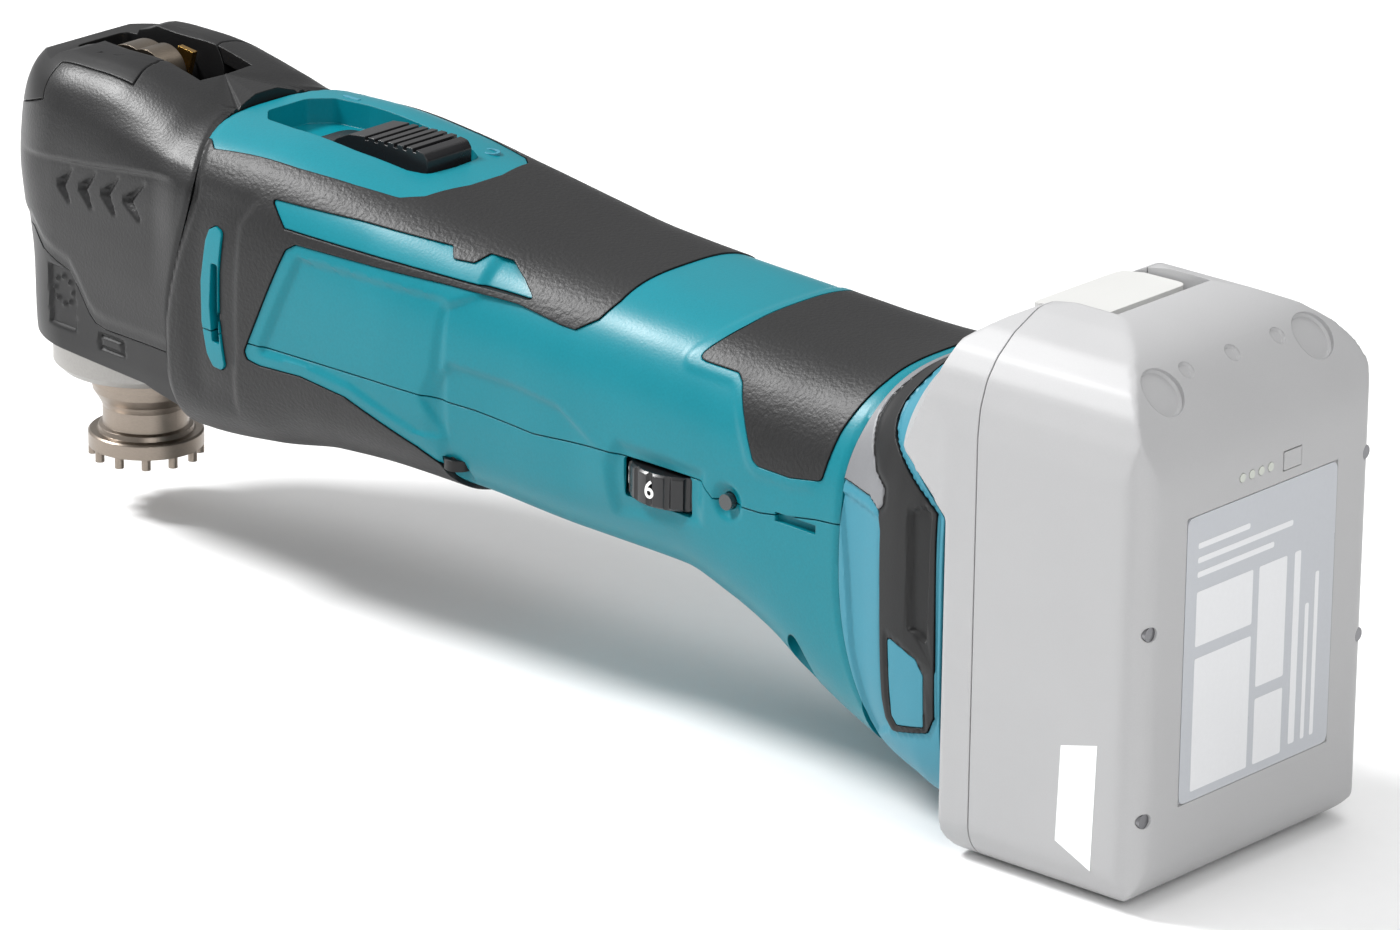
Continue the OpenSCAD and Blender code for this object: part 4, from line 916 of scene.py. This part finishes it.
def bumper_relief(p):
    xz, side = p[..., [0, 2]], np.abs(p[..., 1]) > 16
    out = np.full(p.shape[:-1], 0.15)
    d = line_distance(xz, CHANNEL, closed=True)
    out -= np.where(side & inside(xz, CHANNEL), 1.1 * smooth(d / 0.8), 0)
    d = line_distance(xz, BADGE, closed=True)
    out -= np.where(side & ~inside(xz, BADGE), 0.3 * smooth((1.0 - d) / 0.5), 0)
    d = line_distance(xz, CROWN[2:12])
    out += np.where(inside(xz, CROWN), 0.0, 0.45 * smooth(d / 1.6) - 0.35)
    return out


bumper = body_solid(224, 263, 0, step=0.4, m=400, relief=bumper_relief)
cut(bumper, below_band())
cut(bumper, side_zone(BUMPER, 1.4, -GAP), "INTERSECT")
cut(bumper, module_space(), "INTERSECT")
cut(bumper, rail_slot())
for side in sides(20, 60):
    cut(bumper, side_zone(BADGE, 0.8, 0.12, *side))
crown = cut(copy(bumper), side_zone(CROWN, 0.6), "INTERSECT")
cut(bumper, side_zone(CROWN, 0.6, 0.1))
cut(bumper, block((200, -37.5, -60), (330, 37.5, 150)), "INTERSECT")
piece(bumper, "Rear_Bumper_Band", "housing", BLACK, "black_shell", "rear_bumper")
piece(crown, "Rear_Bumper_Arch", "housing", GREY_TRIM, "black_shell")
badges = body_solid(243, 263, -0.05, step=0.6, m=300)
cut(badges, body_solid(242, 264, -GRIP_T, step=1.2, m=240))
cut(badges, side_zone(BADGE, 0.8, -0.08, -60, 60), "INTERSECT")
piece(badges, "Bumper_Badge", "housing", TEAL_LIGHT, "teal_light", "bumper_badge")

# ---------------------------------------------------------------- battery
# the pack's front and end in x, top and bottom in z, and half width
PX, PEND, PTOP, PLOW, PW = 262.0, 312.3, 100.0, -14.6, 37.5
END_R = 28


def arc(cx, cy, r, a0, a1, n=14):
    """Points of an arc about (cx, cy) from a0 to a1 degrees."""
    angles = [math.radians(a) for a in np.linspace(a0, a1, n + 1)]
    return [(cx + r * math.cos(a), cy + r * math.sin(a)) for a in angles]


PACK_SIDE = ([(PX, PLOW + 5), (PX + 1.5, PLOW + 1.6), (PX + 5, PLOW)] + arc(PEND - 11, PLOW + 11, 11, -90, 0)
             + arc(PEND - END_R, PTOP - END_R, END_R, 0, 90, 24)
             + [(276, 100), (270, 99), (265, 96.6), (261, 93.8), (253, 87.3), (248.6, 84), (247.9, 82),
                (248, 74), (248.7, 70.6), (250.4, 68), (PX, 57.3)])
PACK_TOP = [(PW, 76), (36.9, 82), (35, 87.5), (32, 91.5), (27, 95.4), (20, 98.6), (14, 100.2)]
PACK_FRONT = (arc(-PW + 9, PLOW + 9, 9, 180, 270) + arc(PW - 9, PLOW + 9, 9, 270, 360)
              + PACK_TOP + [(-y, z) for y, z in reversed(PACK_TOP)])
PACK_PLAN = ([(240, -PW + 2.6), (250.6, -PW + 1.2), (PX, -PW)] + arc(PEND - 6, -PW + 6, 6, -90, 0)
             + arc(PEND - 6, PW - 6, 6, 0, 90) + [(PX, PW), (250.6, PW - 1.2), (240, PW - 2.6)])


def pack_solid(inset):
    """The pack's form, or its inside at an inset, as what its three outlines share."""
    solid = prism(offset(PACK_SIDE, -inset), "xz", -60, 60)
    cut(solid, prism(offset(rounded(PACK_FRONT, 6), -inset), "yz", 200, 360), "INTERSECT")
    return cut(solid, prism(offset(PACK_PLAN, -inset), "xy", -60, 140), "INTERSECT")


pack = soften(pack_solid(0.0), 0.62, 4)
pack_in = pack_solid(WALL)
# keep-outs for the button, the tongue and the stops of the case
well = block((257, -14.8, 91.6), (286.1, 14.8, 130))
cut(well, block((263, -8.4, 80), (271.9, 8.4, 92)), "UNION")
cut(pack_in, block((258, -17.2, 89), (289, 17.2, 130)))
cut(pack_in, block((240, -60, -40), (264.4, 60, 56)))
cut(pack_in, block((235, -60, 55), (257, 60, 130)))
cut(pack, pack_in)
cut(pack, well)
# the shoulder's corners slope back from the rounded end of the rear module
SHOULDER = [(244, 0.6), (247.4, 0.8), (249, 1.6), (252, 3.6), (255, 6), (258, 9), (261, 13), (264, 18)]
slope = mesh(*closed_grid(np.concatenate([body_rings([x], grow, 240) for x, grow in SHOULDER])))
cut(pack, cut(block((244.5, -60, 60), (263.5, 60, 130)), slope))


def dimple(r, depth, angle, y, sunk):
    """Cuts a round dimple, which stands square on the pack's rounded end edge, to sunk below its arc."""
    solid = lathe([(r - 0.5, -depth), (r, -depth + 0.5), (r + 0.1, 6)], (0, 0, 0), 64)
    a, out = math.radians(angle), END_R - sunk
    foot = Vector((PEND - END_R + out * math.cos(a), y, PTOP - END_R + out * math.sin(a))) * MM
    solid.data.transform(Matrix.Translation(foot) @ Matrix.Rotation(math.radians(90 - angle), 4, "Y"))
    cut(pack, solid)


for y in (-23.9, 23.9):
    dimple(5.3, 0.9, 42, y, 0.6)
for y in (-14.5, 0.0, 14.5):
    dimple(1.9, 0.7, 47, y, 0.0)
cut(pack, block((PEND - 0.45, -24.15, 5.85), (330, 24.15, 66.15)))
cut(pack, block((300, 6.0, 68.2), (330, 12.0, 72.4)))
for y in (-7, -4, -1, 2):
    cut(pack, cylinder((312, y, 70.3), "x", 0.95, 14, n=24))
for y, z in ((-34, 44.7), (-34, 5.5), (34, 65), (34, 26)):
    cut(pack, cylinder((312, y, z), "x", 1.55, 6, n=24))
tray = cut(copy(pack), block((270.15, -60, -40), (330, 60, 130)), "INTERSECT")
cut(pack, block((240, -60, -40), (269.85, 60, 130)), "INTERSECT")
cut(pack, block((253, -24, -4), (258.4, 24, 60)), "UNION")
cut(pack, block((258.3, -21, -4), (264, 21, 60)), "UNION")
for y in (-11, 11):
    cut(pack, block((252, y - 1.9, -5), (261, y + 1.9, 34)))
cut(pack, block((240, -8.4, 71.4), (268, 8.4, 79.6)))
piece(pack, "Battery_Front_Half", "battery", PACK, "battery_shell", "battery_top_case")
piece(tray, "Battery_Rear_Half", "battery", PACK, "battery_shell", "battery_tray")
label = prism(rounded(rectangle(-24, 6, 24, 66), 2.0), "yz", PEND - 0.43, PEND + 0.04)
piece(label, "Battery_Label_Film", "battery", LABEL, "battery_label_grey", "battery_label")

# plain fields on the label, in place of its print
FIELDS = [(-20.5, 8, -2.5, 36), (-20.5, 38.5, -2.5, 50), (-0.5, 8, 8.5, 22), (-0.5, 24.5, 8.5, 50),
          (11, 9, 13, 50), (15, 9, 16.2, 38), (18, 9, 19.2, 44), (-20.5, 53, 4, 54.2),
          (-20.5, 56, 10, 57.2), (-20.5, 59, -4, 60.2)]
fields, *others = [prism(rounded(rectangle(*field), 0.5), "yz", PEND - 0.1, PEND + 0.09) for field in FIELDS]
for other in others:
    cut(fields, other, "UNION")
piece(fields, "Battery_Label_Fields", "battery", LABEL_WHITE, "battery_label_grey")

# release button
button = prism(rounded(rectangle(263.4, -14, 281, 14), 2.5), "xy", 92, 110)
top = prism([(260, 80), (260, 96.0), (264.5, 97.2), (270, 98.0), (282, 98.2), (282, 80)], "xz", -30, 30)
cut(button, top, "INTERSECT")
cut(button, block((263.4, -8, 72), (266.6, 8, 92.5)), "UNION")
cut(button, block((247.8, -8, 72), (263.6, 8, 79)), "UNION")
piece(button, "Release_Button", "release_button", WHITE, "white_plastic", "release_button")

# a plain white patch on each of the battery's sides
PATCH = [(292.3, -2.8), (301.3, -6.9), (302.2, 19.9), (293.1, 17.6)]
for hand, side in zip("RL", sides(PW - 0.2, PW + 0.05)):
    piece(prism(PATCH, "xz", *side), "Battery_Side_Mark_" + hand, "battery", INK, "white_plastic")

# ---------------------------------------------------------------- small marks
def raised_mark(name, outline, hole, z):
    """A small raised sign of the body's own colour beside the switch, sunk a little into the surface."""
    mark = prism(outline, "xy", z - 0.5, z + 0.28)
    if hole:
        cut(mark, prism(hole, "xy", z - 1, z + 1))
    piece(mark, name, "housing", TEAL_LIGHT, "teal_light", angle=30)


ROUND = [(math.cos(math.radians(15 * k)), math.sin(math.radians(15 * k))) for k in range(24)]
raised_mark("Switch_Mark_Off", [(92.5 + 2.2 * u, 13.2 + 1.9 * v) for u, v in ROUND],
            [(92.5 + 1.5 * u, 13.2 + 1.2 * v) for u, v in ROUND], 84.8)
raised_mark("Switch_Mark_On", rounded(rectangle(48.6, 12.9, 53.4, 13.9), 0.3), None, 88.0)

# ---------------------------------------------------------------- springs
def coil(start, axis, r, wire, length, turns):
    """A helical spring of round wire that begins at start and runs along z or x."""
    t = np.linspace(0, 1, turns * 28 + 1)[:, None]
    u = np.linspace(0, 2 * math.pi, 10, endpoint=False)[None, :]
    a = 2 * math.pi * turns * t
    rad, along = r + wire * np.cos(u), wire + (length - 2 * wire) * t + wire * np.sin(u)
    grid = np.stack([rad * np.cos(a), rad * np.sin(a), along + 0 * a], axis=-1)
    if axis == "x":
        grid = grid[..., [2, 0, 1]]
    return mesh(*closed_grid(grid[:, ::-1] + np.array(start, float)))


spring = coil((0, 0, 65.55), "z", 4.6, 0.48, 13.3, 6)
piece(spring, "Clamp_Spring_Coil", "housing", STEEL, "steel", "clamp_spring")
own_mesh(spring)
spring = coil((266.75, 0, 85.9), "x", 2.5, 0.33, 7.1, 4)
piece(spring, "Latch_Spring_Coil", "battery", STEEL, "steel", "latch_spring")
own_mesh(spring)

# ---------------------------------------------------------------- stage, light
corners = [(x, y, PLOW) for x, y in rectangle(-3000, -3000, 3500, 3500)]
floor = mesh(corners, [(0, 1, 2, 3)], flat=True, name="Floor")
paint = material("Floor_Paint", (0.86, 0.86, 0.86, 1.0), rough=0.7, grain=4.0, depth=0.002, var=0.01)
floor.data.materials.append(paint)

world = bpy.data.worlds.new("World")
bpy.context.scene.world = world
world.use_nodes = True
w = world.node_tree
w_back = w.nodes["Background"]
w_back.inputs["Color"].default_value = (1.0, 1.0, 1.0, 1.0)
w_place = w.nodes.new("ShaderNodeTexCoord")
w_dot = w.nodes.new("ShaderNodeVectorMath")
w_dot.operation = "DOT_PRODUCT"
w_dot.inputs[1].default_value = Vector((-0.62, -0.30, 0.72)).normalized()
w_ramp = w.nodes.new("ShaderNodeMapRange")
for key, value in (("From Min", -0.1), ("From Max", 0.95), ("To Min", 0.12), ("To Max", 0.82)):
    w_ramp.inputs[key].default_value = value
w.links.new(w_place.outputs["Generated"], w_dot.inputs[0])
w.links.new(w_dot.outputs["Value"], w_ramp.inputs["Value"])
w.links.new(w_ramp.outputs["Result"], w_back.inputs["Strength"])


LAMP_DISTANCE = 1.3


def area_light(name, azimuth, elevation, size, power):
    """A round soft box that looks at the tool from an azimuth and elevation in degrees."""
    data = bpy.data.lights.new(name, "AREA")
    data.shape, data.size, data.energy = "DISK", size, power
    lamp = bpy.data.objects.new(name, data)
    bpy.context.scene.collection.objects.link(lamp)
    way = direction(math.radians(azimuth), math.radians(elevation))
    lamp.location = AIM + way * LAMP_DISTANCE
    lamp.rotation_euler = way.to_track_quat("Z", "Y").to_euler()


area_light("Key", -66, 46, 0.32, 19)
area_light("Fill", 62, 30, 1.0, 8.5)
area_light("Top", 150, 70, 0.9, 5.5)
bpy.context.scene.view_settings.view_transform = "Standard"
